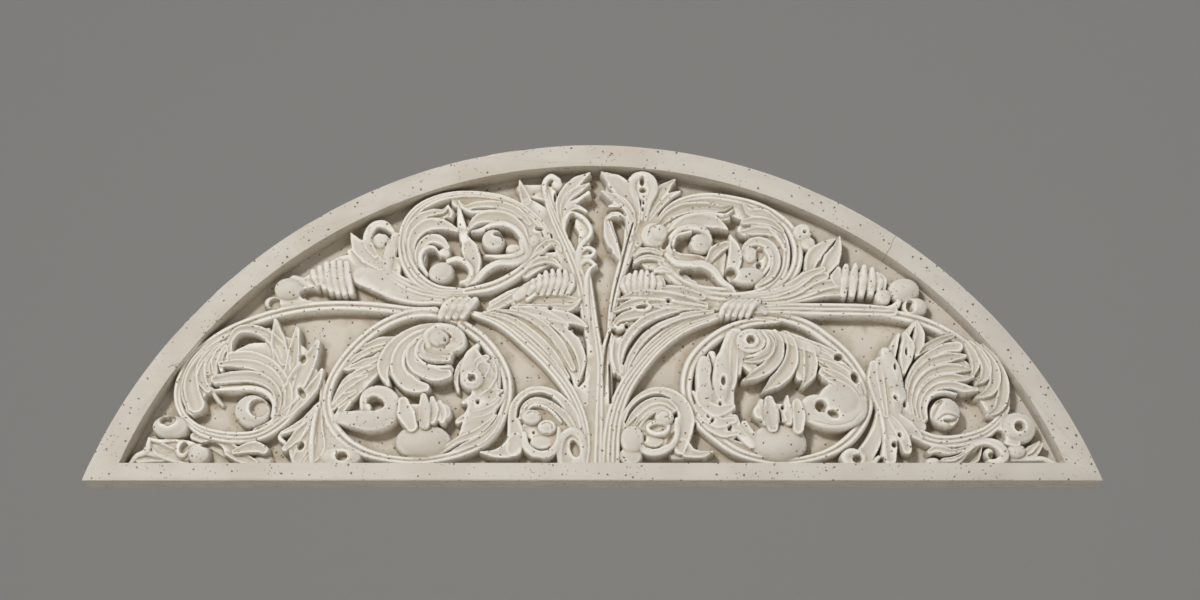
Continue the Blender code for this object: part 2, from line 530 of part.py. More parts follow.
def oval_scroll(half):
    """The oval scroll under the arch with its two fans."""
    half.reed(
        [(196, 290), (235, 292), (262, 308), (280, 335), (286, 365), (280, 395), (262, 418),
         (235, 433), (200, 441), (160, 441), (125, 431), (95, 412), (74, 388), (64, 364)],
        [5, 8, 10, 11, 11, 10, 9, 8, 7, 6, 6, 6, 6, 4],
        [32, 34, 36, 36, 36, 36, 36, 36, 36, 34, 34, 34, 34, 32], count=3,
    )
    half.leaf(
        [(262, 330), (270, 355), (265, 385), (245, 402), (222, 408), (216, 418)], [3, 5, 7, 7, 6, 2],
        [34, 38, 40, 42, 42, 42],
    )
    half.leaf(
        [(256, 322), (262, 348), (258, 372), (240, 386), (222, 386), (205, 382)], [3, 5, 8, 10, 9, 5],
        [36, 40, 42, 44, 44, 42],
    )
    half.leaf(
        [(250, 315), (258, 335), (256, 355), (243, 366), (228, 362), (218, 352)], [3, 5, 6, 8, 9, 6],
        [38, 40, 44, 46, 48, 46],
    )
    half.rib([(246, 310), (252, 328), (250, 345), (240, 354)], [3, 4, 4, 3], [40, 42, 44, 44])
    half.dome(222, 322, 24, 16, 46, lean=-25)
    half.hole(196, 318, 11, 10, 22)
    half.rib(
        [(214, 334), (200, 333), (186, 326), (184, 312), (196, 304)], [3, 4, 4, 4, 3],
        [40, 40, 40, 38, 36],
    )
    half.leaf(
        [(95, 385), (112, 405), (140, 418), (170, 417), (195, 416), (201, 426)], [4, 7, 8, 7, 6, 2],
        [36, 40, 42, 42, 42, 42],
    )
    half.leaf(
        [(95, 365), (108, 388), (130, 402), (155, 403), (175, 396), (187, 384)], [4, 8, 10, 10, 10, 6],
        [36, 40, 44, 44, 44, 42],
    )
    half.rib(
        [(98, 350), (106, 372), (122, 387), (145, 392), (163, 386), (178, 382)], [4, 5, 5, 5, 4, 2],
        [38, 42, 46, 46, 44, 40],
    )
    half.dome(152, 366, 18, 18, 48, fullness=0.8)
    half.trench([(143, 374), (130, 374), (122, 366)], [2, 6, 3], 12)
    half.rib(
        [(98, 372), (98, 352), (110, 343), (135, 341), (155, 340)], [4, 4, 5, 4, 3],
        [38, 38, 40, 38, 34],
    )
    half.rib(
        [(92, 358), (100, 340), (118, 331), (145, 331), (160, 322), (176, 306), (188, 300)],
        [4, 5, 5, 5, 5, 5, 3], [34, 38, 40, 40, 40, 38, 34],
    )
    half.leaf(
        [(190, 372), (182, 352), (178, 332), (182, 314), (192, 304)], [5, 14, 14, 8, 4],
        [28, 30, 30, 30, 28], depth=1,
    )
    half.reed(
        [(190, 289), (150, 297), (115, 315), (90, 337), (72, 356), (66, 372)], [6, 8, 8, 7, 6, 4],
        [34, 36, 36, 36, 36, 34], count=2,
    )
    half.dome(88, 366, 10, 12, 38)
    half.dome(84, 384, 6, 4, 34)
    half.leaf([(78, 350), (66, 358), (56, 360), (48, 352)], [4, 6, 7, 3], [34, 36, 38, 38])
    half.leaf([(98, 326), (80, 332), (62, 334), (46, 326)], [4, 6, 6, 2], [34, 36, 38, 36])
    half.dome(70, 345, 7, 4, 34)
    half.leaf([(108, 458), (106, 445)], [3, 7], [36, 30])


def inner_bud(half):
    """The ribbed bud beside the middle, on its leaf."""
    for rib in range(BUD_RIBS):
        share = rib / (BUD_RIBS - 1)
        x = 92 - 58 * share
        top = 300 + 20 * np.sin(min(share * 1.6 + 0.15, 1) * np.pi / 2) - 40 * max(share - 0.8, 0)
        half.rib([(x - 3, top), (x - 4, (top + 286) / 2), (x + 3, 284)], [2.5, 5, 3], [34, 42, 36])
    half.leaf(
        [(110, 272), (92, 270), (65, 276), (38, 276), (20, 276)], [9, 10, 10, 8, 2],
        [36, 38, 38, 38, 36],
    )
    half.rib([(113, 280), (100, 290), (94, 296)], [7, 8, 5], [40, 42, 38])
    half.rib([(97, 274), (86, 282)], [3, 3], [44, 44])
    half.leaf([(155, 262), (140, 268), (120, 280), (110, 290)], [4, 6, 6, 3], [34, 36, 36, 34])
    half.hole(63, 262, 3, 2.5, 16)


def plume(half):
    """The tall leaf that rises to the arch beside the middle."""
    half.reed(
        [(70, 452), (66, 425), (50, 375), (32, 325), (20, 290), (12, 250), (6, 215)],
        [4, 6, 8, 9, 9, 7, 4], [34, 36, 34, 34, 34, 34, 32], count=3,
    )
    half.rib([(70, 440), (69, 458), (60, 463), (52, 456)], [4, 4, 5, 5], [38, 40, 42, 40])
    half.dome(55, 455, 10, 8, 42)
    half.hole(63, 455, 2.5, 4, 18)
    half.leaf(
        [(50, 405), (46, 430), (34, 450), (18, 460), (5, 468)], [4, 7, 9, 8, 2], [34, 38, 42, 44, 44],
    )
    half.leaf([(44, 400), (38, 422), (24, 436), (8, 442)], [4, 7, 6, 3], [36, 40, 42, 42])
    half.leaf([(44, 392), (38, 408), (24, 414), (10, 409)], [3, 5, 4, 3], [38, 40, 42, 42])
    half.rib(
        [(42, 385), (38, 402), (28, 407), (14, 400), (4, 385), (8, 372), (18, 364)],
        [4, 4, 4, 4, 4, 4, 3], [38, 40, 42, 42, 40, 38, 36],
    )
    half.leaf([(18, 364), (14, 360), (10, 375)], [3, 5, 3], 34)
    half.rib([(22, 320), (20, 345), (14, 362), (2, 370)], [5, 6, 6, 3], [36, 38, 38, 34])
    half.rib([(16, 350), (6, 354), (-3, 348), (4, 342)], [3, 4, 4, 3], [38, 40, 40, 38])
    half.rib([(16, 338), (6, 338), (-4, 332)], [4, 4, 3], [38, 38, 34])
    half.rib([(12, 290), (12, 310), (6, 324), (-4, 330)], [4, 4, 3, 2], [36, 38, 38, 36])


def middle_stem(half):
    """The upright stem on the middle."""
    half.reed(
        [(8, 27), (10, 80), (11, 130), (12, 180), (4, 240), (-2, 290), (-6, 320)],
        [7, 7, 6, 6, 5, 4, 3], [36, 36, 36, 34, 34, 34, 34],
    )


HALF_MOTIFS = (
    large_ring, corner_ring, low_spray, corner_leaf, stem_bundle, shoulder_strands, tie, shoulder_buds,
    oval_scroll, inner_bud, foot_scroll, large_ring_leaves, plume,
)


def carve():
    """The whole carving, as heights on the drawn face."""
    relief = Relief(-DRAWN_HALF_FIELD - 20, DRAWN_HALF_FIELD + 20, 0.0, DRAWN_TOP + 20, RASTER)
    for sign, drift in ((-1, ()), (1, DRIFT)):
        for motif in HALF_MOTIFS:
            motif(Half(relief, sign, drift))
    middle_stem(Half(relief, 1, ()))
    return relief


def arch_outline(half, height_at, foot):
    """Outline of a flat-bottomed segment, as (x, z) pairs: an arched edge over a foot line."""
    x = -half * np.cos(np.linspace(0.0, np.pi, ARCH_SIDES + 1))
    arch = [(float(a), float(height_at(a))) for a in x[1:-1]]
    return [(-half, foot)] + arch + [(half, foot)]


def prism(name, outline, back, front):
    """Closed block with that outline between two depths."""
    bm = bmesh.new()
    ring = [bm.verts.new((x, back, z - FIXING_HEIGHT)) for x, z in outline]
    face = bm.faces.new(ring)
    grown = bmesh.ops.extrude_face_region(bm, geom=[face])["geom"]
    moved = [v for v in grown if isinstance(v, bmesh.types.BMVert)]
    bmesh.ops.translate(bm, verts=moved, vec=(0.0, front - back, 0.0))
    return finish(name, bm)


def finish(name, bm):
    """Object of a bmesh, with its faces pointing out."""
    bmesh.ops.recalc_face_normals(bm, faces=bm.faces)
    mesh = bpy.data.meshes.new(name)
    bm.to_mesh(mesh)
    bm.free()
    obj = bpy.data.objects.new(name, mesh)
    bpy.context.scene.collection.objects.link(obj)
    return obj


def carved_bed(relief):
    """The carving as a closed block that fills the field and runs on a little way into the border."""
    half, lap = half_field(), min(BORDER, RAIL) * LAP_SHARE
    across = int(2 * DRAWN_HALF_FIELD / RASTER)
    up = int((DRAWN_TOP - DRAWN_RAIL) / RASTER)
    bm = bmesh.new()
    bmesh.ops.create_grid(bm, x_segments=across, y_segments=up, size=1.0)
    place = np.array([v.co[:2] for v in bm.verts])
    x = place[:, 0] * (half + lap)
    low, high = RAIL - lap, field_height(x) + lap
    z = low + (place[:, 1] + 1) / 2 * np.maximum(high - low, lap)
    drawn_x = x / half * DRAWN_HALF_FIELD
    drawn_z = DRAWN_RAIL + (z - RAIL) / (field_height(0.0) - RAIL) * (DRAWN_TOP - DRAWN_RAIL)
    column = np.clip((drawn_x - relief.left) / relief.pitch, 0, relief.columns - 1.001)
    row = np.clip((drawn_z - relief.low) / relief.pitch, 0, relief.rows - 1.001)
    c, r = column.astype(int), row.astype(int)
    u, v, height = column - c, row - r, relief.height
    under = height[r, c] * (1 - u) + height[r, c + 1] * u
    over = height[r + 1, c] * (1 - u) + height[r + 1, c + 1] * u
    depth = -(BACKING + (under * (1 - v) + over * v) / DRAWN_HEIGHT * CARVING_HEIGHT)
    for vert, a, b, d in zip(bm.verts, x, z, depth):
        vert.co = (a, d, b - FIXING_HEIGHT)
    grid, row_length = bm.verts[:], across + 1
    top_left = row_length * up
    rim = grid[:across] + grid[across:top_left:row_length]
    rim += grid[top_left + 1:][::-1] + grid[top_left:0:-row_length]
    foot = [bm.verts.new((v.co.x, -BACKING * BED_SHARE, v.co.z)) for v in rim]
    for i, vert in enumerate(rim):
        bm.faces.new((vert, rim[i - 1], foot[i - 1], foot[i]))
    bm.faces.new(foot)
    bed = finish("carved_bed", bm)
    thin = bed.modifiers.new("facets", "DECIMATE")
    thin.ratio = FACETS / (2 * len(bed.data.polygons))
    return bed


def helper(obj):
    """Keeps an object out of the finished part."""
    obj.hide_render = True
    obj.display_type = "WIRE"
    return obj


def boolean(obj, other, operation):
    """Joins or cuts one closed body with another."""
    modifier = obj.modifiers.new(other.name, "BOOLEAN")
    modifier.operation = operation
    modifier.solver = "EXACT"
    modifier.object = helper(other)


def stone():
    """Pale limestone."""
    material = bpy.data.materials.new("pale_limestone")
    material.use_nodes = True
    shader = material.node_tree.nodes["Principled BSDF"]
    shader.inputs["Base Color"].default_value = STONE_COLOUR
    shader.inputs["Roughness"].default_value = STONE_ROUGHNESS
    shader.inputs["Metallic"].default_value = 0.0
    return material


def build():
    """The one piece: a segment-shaped block, its field sunk, and the carving standing in the field."""
    for old in list(bpy.data.objects):
        bpy.data.objects.remove(old, do_unlink=True)
    outline = arch_outline(WIDTH / 2, arch_height, 0.0)
    panel = prism("lunette_panel", outline, 0.0, -(BACKING + RECESS))
    field = arch_outline(half_field(), field_height, RAIL)
    sunk = prism("field_cutter", field, -BACKING * (1 + BED_SHARE) / 2, -(BACKING + RECESS) - BACKING)
    boolean(panel, sunk, "DIFFERENCE")
    boolean(panel, carved_bed(carve()), "UNION")
    panel.data.materials.append(stone())


build()
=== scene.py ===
"""Looks of the carved lunette panel: one block of pale limestone, its field filled with acanthus scrolls.

The block takes its size from the frame. The carving is drawn in millimetres on the face as seen from in
front, x from the middle and z from the bottom edge, as members that rise from the ground to their own
heights. The two halves are drawn separately, because the carver worked by eye and they differ.
"""

import logging
import math
from dataclasses import dataclass, field
from enum import Enum
from typing import Optional, Sequence, Union

import bmesh
import bpy
import numpy as np
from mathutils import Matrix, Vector, noise


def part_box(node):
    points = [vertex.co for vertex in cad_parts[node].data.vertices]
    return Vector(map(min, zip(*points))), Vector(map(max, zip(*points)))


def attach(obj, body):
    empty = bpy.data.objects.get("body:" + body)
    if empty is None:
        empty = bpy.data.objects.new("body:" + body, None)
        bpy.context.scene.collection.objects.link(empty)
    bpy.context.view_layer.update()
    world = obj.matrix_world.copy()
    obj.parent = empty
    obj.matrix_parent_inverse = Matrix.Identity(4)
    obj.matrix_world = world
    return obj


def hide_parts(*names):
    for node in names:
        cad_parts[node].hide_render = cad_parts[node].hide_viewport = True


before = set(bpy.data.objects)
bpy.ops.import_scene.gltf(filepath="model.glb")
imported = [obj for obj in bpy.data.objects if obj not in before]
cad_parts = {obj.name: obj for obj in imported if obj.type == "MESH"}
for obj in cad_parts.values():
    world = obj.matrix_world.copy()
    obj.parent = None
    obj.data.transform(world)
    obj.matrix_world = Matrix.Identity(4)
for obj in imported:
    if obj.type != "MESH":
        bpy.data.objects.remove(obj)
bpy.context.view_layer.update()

MM = 0.001

# Rise of a drilled or sunk cut's side over its run, and how near to upright a round's edge comes.
DRILLED_SLOPE = 30.0
NEARLY_UPRIGHT = 0.999

Place = tuple[float, float]
Levels = Sequence[float]
Run = Union[float, Levels]


class Section(Enum):
    """Section across a carved member."""

    GOUGE = "a hollow between two raised rims"
    REED = "rounds side by side"
    ROUND = "one round"
    FLAT = "level"


class Cut(Enum):
    """How a member meets the stone that is already cut."""

    RAISE = "stands over what is lower"
    SINK = "is cut down to its own levels"
    GROOVE = "is cut in by its own depth"


def smooth_path(points: Sequence[Place], step: float) -> np.ndarray:
    """Draws a curve through a few points.

    Args:
        points: The places that the curve passes through.
        step: Distance between the curve's own points.

    Returns:
        The curve's points, evenly spaced (centripetal Catmull-Rom).
    """
    p = np.asarray(points, float)
    p = np.vstack([2 * p[0] - p[1], p, 2 * p[-1] - p[-2]])
    knots = np.concatenate([[0.0], np.cumsum(np.hypot(*np.diff(p, axis=0).T) ** 0.5)])
    dense = []
    for i in range(1, len(p) - 2):
        t = np.linspace(knots[i], knots[i + 1], 16, endpoint=False)[:, None]
        k0, k1, k2, k3 = knots[i - 1 : i + 3]
        a1 = ((k1 - t) * p[i - 1] + (t - k0) * p[i]) / (k1 - k0)
        a2 = ((k2 - t) * p[i] + (t - k1) * p[i + 1]) / (k2 - k1)
        a3 = ((k3 - t) * p[i + 1] + (t - k2) * p[i + 2]) / (k3 - k2)
        b1 = ((k2 - t) * a1 + (t - k0) * a2) / (k2 - k0)
        b2 = ((k3 - t) * a2 + (t - k1) * a3) / (k3 - k1)
        dense.append(((k2 - t) * b1 + (t - k1) * b2) / (k2 - k1))
    line = np.vstack(dense + [p[-2:-1]])
    run = np.concatenate([[0.0], np.cumsum(np.hypot(*np.diff(line, axis=0).T))])
    at = np.linspace(0.0, run[-1], max(int(np.ceil(run[-1] / step)) + 1, 3))
    return np.column_stack([np.interp(at, run, line[:, 0]), np.interp(at, run, line[:, 1])])


def softened(values: np.ndarray, spread: float) -> np.ndarray:
    """Blurs a raster.

    Args:
        values: The raster.
        spread: Standard deviation of the blur, in raster steps.

    Returns:
        The blurred raster.
    """
    reach = int(np.ceil(3 * spread))
    weights = np.exp(-0.5 * (np.arange(-reach, reach + 1) / spread) ** 2)
    weights /= weights.sum()
    wide = np.pad(values, ((reach, reach), (0, 0)), mode="edge")
    tall = sum(w * wide[i : i + values.shape[0]] for i, w in enumerate(weights))
    wide = np.pad(tall, ((0, 0), (reach, reach)), mode="edge")
    return sum(w * wide[:, i : i + values.shape[1]] for i, w in enumerate(weights))


@dataclass
class Near:
    """Where the raster's points in a window lie beside a path."""

    rows: slice
    columns: slice
    share: np.ndarray
    side: np.ndarray
    half: np.ndarray
    outside: np.ndarray


@dataclass
class Relief:
    """Heights of the carving over its ground, in millimetres, on an even raster of the face.

    Attributes:
        left, right, low, high: Edges of the raster.
        pitch: Distance between its points.
        wall: Run of the cut sides, from a member's edge down to the ground.
        arris: Radius of a hollowed member's worn rims.
        scoop: Depth of a lobe's hollow, as a share of its half-width.
        deepest: The most that a lobe is hollowed.
        fullness: Drop of a rounded rib to its edge, as a share of its half-width.
    """

    left: float
    right: float
    low: float
    high: float
    pitch: float
    wall: float = 1.5
    arris: float = 1.5
    scoop: float = 0.8
    deepest: float = 8.0
    fullness: float = 0.7
    height: np.ndarray = field(init=False)

    def __post_init__(self) -> None:
        """Starts from bare ground."""
        columns = int(round((self.right - self.left) / self.pitch)) + 1
        rows = int(round((self.high - self.low) / self.pitch)) + 1
        self.height = np.zeros((rows, columns))

    def window(self, low: np.ndarray, high: np.ndarray) -> tuple[slice, slice]:
        """Finds the part of the raster between two corners.

        Args:
            low: The lowest x and z.
            high: The highest x and z.

        Returns:
            Its rows and its columns.
        """
        rows, columns = self.height.shape
        c0 = min(max(int(np.floor((low[0] - self.left) / self.pitch)), 0), columns)
        c1 = min(max(int(np.ceil((high[0] - self.left) / self.pitch)) + 1, c0), columns)
        r0 = min(max(int(np.floor((low[1] - self.low) / self.pitch)), 0), rows)
        r1 = min(max(int(np.ceil((high[1] - self.low) / self.pitch)) + 1, r0), rows)
        return slice(r0, r1), slice(c0, c1)

    def near(self, path: np.ndarray, half: np.ndarray) -> Near:
        """Measures the raster's points against a path, a short stretch of it at a time.

        Args:
            path: The path's points.
            half: Half-width of the member at each of them.

        Returns:
            The share of the way along, the side offset in half-widths, the half-width there and the
            distance outside the member's edge.
        """
        reach = half.max() + self.wall
        rows, columns = self.window(path.min(0) - reach, path.max(0) + reach)
        shape = (rows.stop - rows.start, columns.stop - columns.start)
        found = Near(rows, columns, np.zeros(shape), np.zeros(shape), np.ones(shape), np.full(shape, 1e9))
        step = np.diff(path, axis=0)
        run = np.concatenate([[0.0], np.cumsum(np.hypot(*step.T))])
        turn = np.vstack([step[:1], step[:-1] + step[1:], step[-1:]])
        turn /= np.maximum(np.hypot(*turn.T), 1e-9)[:, None]
        stretch, slack = 10, float(np.hypot(*step.T).max()) * 0.6
        for first in range(0, len(path), stretch):
            some = slice(first, min(first + stretch, len(path)))
            reach = half[some].max() + self.wall + 2 * self.pitch
            r, c = self.window(path[some].min(0) - reach, path[some].max(0) + reach)
            r = slice(max(r.start, rows.start), min(r.stop, rows.stop))
            c = slice(max(c.start, columns.start), min(c.stop, columns.stop))
            if r.stop <= r.start or c.stop <= c.start:
                continue
            x = self.left + self.pitch * np.arange(c.start, c.stop)[None, :]
            z = self.low + self.pitch * np.arange(r.start, r.stop)[:, None]
            off = np.hypot(x[..., None] - path[some, 0], z[..., None] - path[some, 1]) - half[some]
            k = off.argmin(2) + first
            dx, dz = x - path[k, 0], z - path[k, 1]
            forward = dx * turn[k, 0] + dz * turn[k, 1]
            side = dz * turn[k, 0] - dx * turn[k, 1]
            beyond = ((k == 0) & (forward < 0)) | ((k == len(path) - 1) & (forward > 0))
            away = np.where(beyond, np.hypot(dx, dz), np.hypot(side, np.maximum(np.abs(forward) - slack, 0)))
            share = np.clip((run[k] + np.where(beyond, 0.0, forward)) / run[-1], 0.0, 1.0)
            width = np.interp(share, run / run[-1], half)
            inner = (slice(r.start - rows.start, r.stop - rows.start),
                     slice(c.start - columns.start, c.stop - columns.start))
            closer = away - width < found.outside[inner]
            sides = np.where(side < 0, -1.0, 1.0) * away / width
            for old, new in ((found.share, share), (found.side, sides), (found.half, width),
                             (found.outside, away - width)):
                old[inner] = np.where(closer, new, old[inner])
        return found

    def fall(self, near: Near, section: Section, reeds: int, depth: Optional[float]) -> np.ndarray:
        """Works out how far a member's face lies below its own level.

        Args:
            near: Where the raster's points lie beside the member's path.
            section: The section across the member.
            reeds: Number of rounds across a reeded member.
            depth: Depth of the section, or None for one in proportion to the width.

        Returns:
            The drop at each point of the window.
        """
        width = near.half
        across = np.clip(np.abs(near.side), 0.0, 1.0)
        rim = np.minimum(self.arris, width * 0.6)
        bite = np.clip(1 - (1 - across) * width / rim, 0.0, 1.0)
        edge = rim * (1 - np.sqrt(1 - bite**2))
        if section is Section.GOUGE:
            hollow = np.minimum(width * self.scoop, self.deepest) if depth is None else depth * 2.2
            core = np.clip(across / np.maximum(1 - 1.1 * rim / width, 0.3), 0.0, 1.0)
            return hollow * np.cos(core * np.pi / 2) ** 0.9 + edge
        if section is Section.REED:
            wave = np.abs((near.side + 1) / 2 * reeds % 1 * 2 - 1)
            wave = np.where(across >= 1, 1.0, np.clip(wave, 0.0, 1.0))
            return (width / reeds * 2.0 if depth is None else depth) * (1 - np.sqrt(1 - 0.98 * wave**2))
        if section is Section.ROUND:
            deep = width * self.fullness if depth is None else depth
            return deep * (1 - np.sqrt(1 - NEARLY_UPRIGHT * across**2))
        return edge

    def stroke(self, points: Sequence[Place], half_widths: Levels, tops: Levels, section: Section,
               cut: Cut = Cut.RAISE, reeds: int = 1, depth: Optional[float] = None) -> None:
        """Cuts one member along a path.

        Args:
            points: Places that the path passes through.
            half_widths: Half-widths, spread evenly along the path.
            tops: Levels over the ground, or depths for a groove, spread the same way.
            section: The section across the member.
            cut: How the member meets what is there.
            reeds: Number of rounds across a reeded member.
            depth: Depth of the section, or None for one in proportion to the width.
        """
        path = smooth_path(points, max(self.pitch, 1.5))
        share = np.linspace(0.0, 1.0, len(path))
        half = np.maximum(np.interp(share, np.linspace(0, 1, len(half_widths)), half_widths), 0.3)
        near = self.near(path, half)
        level = np.interp(near.share, np.linspace(0, 1, len(tops)), tops)
        part = self.height[near.rows, near.columns]
        out = np.clip(near.outside / self.wall, 0.0, 1.0)
        if cut is Cut.GROOVE:
            part -= level * np.clip(1 - near.side**2, 0.0, 1.0) * (near.outside < 0)
        elif cut is Cut.SINK:
            deep = self.wall * DRILLED_SLOPE
            part[:] = np.where(out < 1, np.minimum(part, np.maximum(level + out * deep, 0.0)), part)
        else:
            face = level - self.fall(near, section, reeds, depth)
            part[:] = np.where(out < 1, np.maximum(part, face * (1 - out)), part)

    def oval(self, x: float, z: float, rx: float, rz: float, lean: float) -> tuple[slice, slice, np.ndarray]:
        """Measures the raster's points against an oval.

        Args:
            x, z: Its middle.
            rx, rz: Its half-axes.
            lean: Its turn, in degrees.

        Returns:
            The rows and columns round it and their distance from the middle as a share of the radius.
        """
        reach = max(rx, rz) + self.wall
        rows, columns = self.window((x - reach, z - reach), (x + reach, z + reach))
        dx = self.left + self.pitch * np.arange(columns.start, columns.stop)[None, :] - x
        dz = self.low + self.pitch * np.arange(rows.start, rows.stop)[:, None] - z
        c, s = math.cos(math.radians(lean)), math.sin(math.radians(lean))
        return rows, columns, np.hypot((dx * c + dz * s) / rx, (dz * c - dx * s) / rz)

    def dome(
        self, x: float, z: float, rx: float, rz: float, top: float, lean: float, fullness: float
    ) -> None:
        """Raises a boss.

        Args:
            x, z: Its middle.
            rx, rz: Its half-axes.
            top: Its level over the ground.
            lean: Its turn, in degrees.
            fullness: Drop to its rim, as a share of the shorter half-axis.
        """
        rows, columns, share = self.oval(x, z, rx, rz, lean)
        short = min(rx, rz)
        face = top - fullness * short * (1 - np.sqrt(1 - NEARLY_UPRIGHT * np.clip(share, 0.0, 1.0) ** 2))
        out = np.clip((share - 1) * short / self.wall, 0.0, 1.0)
        part = self.height[rows, columns]
        part[:] = np.maximum(part, face * (1 - out))

    def hole(self, x: float, z: float, rx: float, rz: float, level: float, lean: float) -> None:
        """Drills an eye.

        Args:
            x, z: Its middle.
            rx, rz: Its half-axes.
            level: Level of its floor over the ground.
            lean: Its turn, in degrees.
        """
        rows, columns, share = self.oval(x, z, rx, rz, lean)
        out = np.clip((share - 1) * min(rx, rz) / self.wall, 0.0, 1.0)
        part = self.height[rows, columns]
        part[:] = np.minimum(part, level + 2 * share**2 + out * self.wall * DRILLED_SLOPE)

    def at(self, values: np.ndarray, x: np.ndarray, z: np.ndarray) -> np.ndarray:
        """Reads a raster between its points.

        Args:
            values: The raster, of the relief's own shape.
            x, z: Places on the face.

        Returns:
            The value at each place.
        """
        rows, columns = values.shape
        column = np.clip((x - self.left) / self.pitch, 0, columns - 1.001)
        row = np.clip((z - self.low) / self.pitch, 0, rows - 1.001)
        c, r = column.astype(int), row.astype(int)
        u, v = column - c, row - r
        low = values[r, c] * (1 - u) + values[r, c + 1] * u
        return low * (1 - v) + (values[r + 1, c] * (1 - u) + values[r + 1, c + 1] * u) * v


@dataclass
class Half:
    """Draws members on one half of the face, from places given outward from the middle.

    Attributes:
        relief: The raster that is cut.
        sign: -1 for the left half and 1 for the right half.
    """

    relief: Relief
    sign: int

    def carve(self) -> None:
        """Cuts the motifs, the ones behind first."""
        for motif in (
            self.large_scroll, self.corner_scroll, self.low_spray, self.corner_leaf, self.stem_bundle,
            self.strands, self.tie, self.shoulder, self.oval_scroll, self.inner_bud, self.foot_scroll,
            self.large_scroll_leaves, self.plume,
        ):
            motif()

    def cut(self, path: Levels, half_widths: Run, tops: Run, section: Section, **options: object) -> None:
        """Cuts a member.

        Args:
            path: The places on its path, as x and z in turn.
            half_widths, tops: Half-widths and levels along it. One that is given alone holds all the way.
            section: The section across it.
            **options: Further arguments of the relief's stroke.
        """
        places = [(self.sign * x, z) for x, z in zip(path[::2], path[1::2])]
        self.relief.stroke(places, np.atleast_1d(half_widths), np.atleast_1d(tops), section, **options)

    def leaf(self, path: Levels, half_widths: Run, tops: Run, depth: Optional[float] = None) -> None:
        """Cuts a lobe that is hollowed along its middle."""
        self.cut(path, half_widths, tops, Section.GOUGE, depth=depth)

    def reed(self, path: Levels, half_widths: Run, tops: Run, count: int = 2) -> None:
        """Cuts a stem or band of reeds."""
        self.cut(path, half_widths, tops, Section.REED, reeds=count)

    def rib(self, path: Levels, half_widths: Run, tops: Run) -> None:
        """Cuts a rounded rib."""
        self.cut(path, half_widths, tops, Section.ROUND)

    def slab(self, path: Levels, half_widths: Run, tops: Run) -> None:
        """Raises a level-faced member."""
        self.cut(path, half_widths, tops, Section.FLAT)

    def trench(self, path: Levels, half_widths: Run, level: float) -> None:
        """Cuts down to a level."""
        self.cut(path, half_widths, level, Section.FLAT, cut=Cut.SINK)

    def groove(self, path: Levels, half_widths: Run, depth: Run) -> None:
        """Cuts a groove into the face that is there."""
        self.cut(path, half_widths, depth, Section.FLAT, cut=Cut.GROOVE)

    def dome(self, x: float, z: float, rx: float, rz: float, top: float, lean: float = 0.0,
             fullness: float = 1.0) -> None:
        """Raises a boss."""
        self.relief.dome(self.sign * x, z, rx, rz, top, lean * self.sign, fullness)

    def hole(self, x: float, z: float, rx: float, rz: float, level: float, lean: float = 0.0) -> None:
        """Drills an eye."""
        self.relief.hole(self.sign * x, z, rx, rz, level, lean * self.sign)


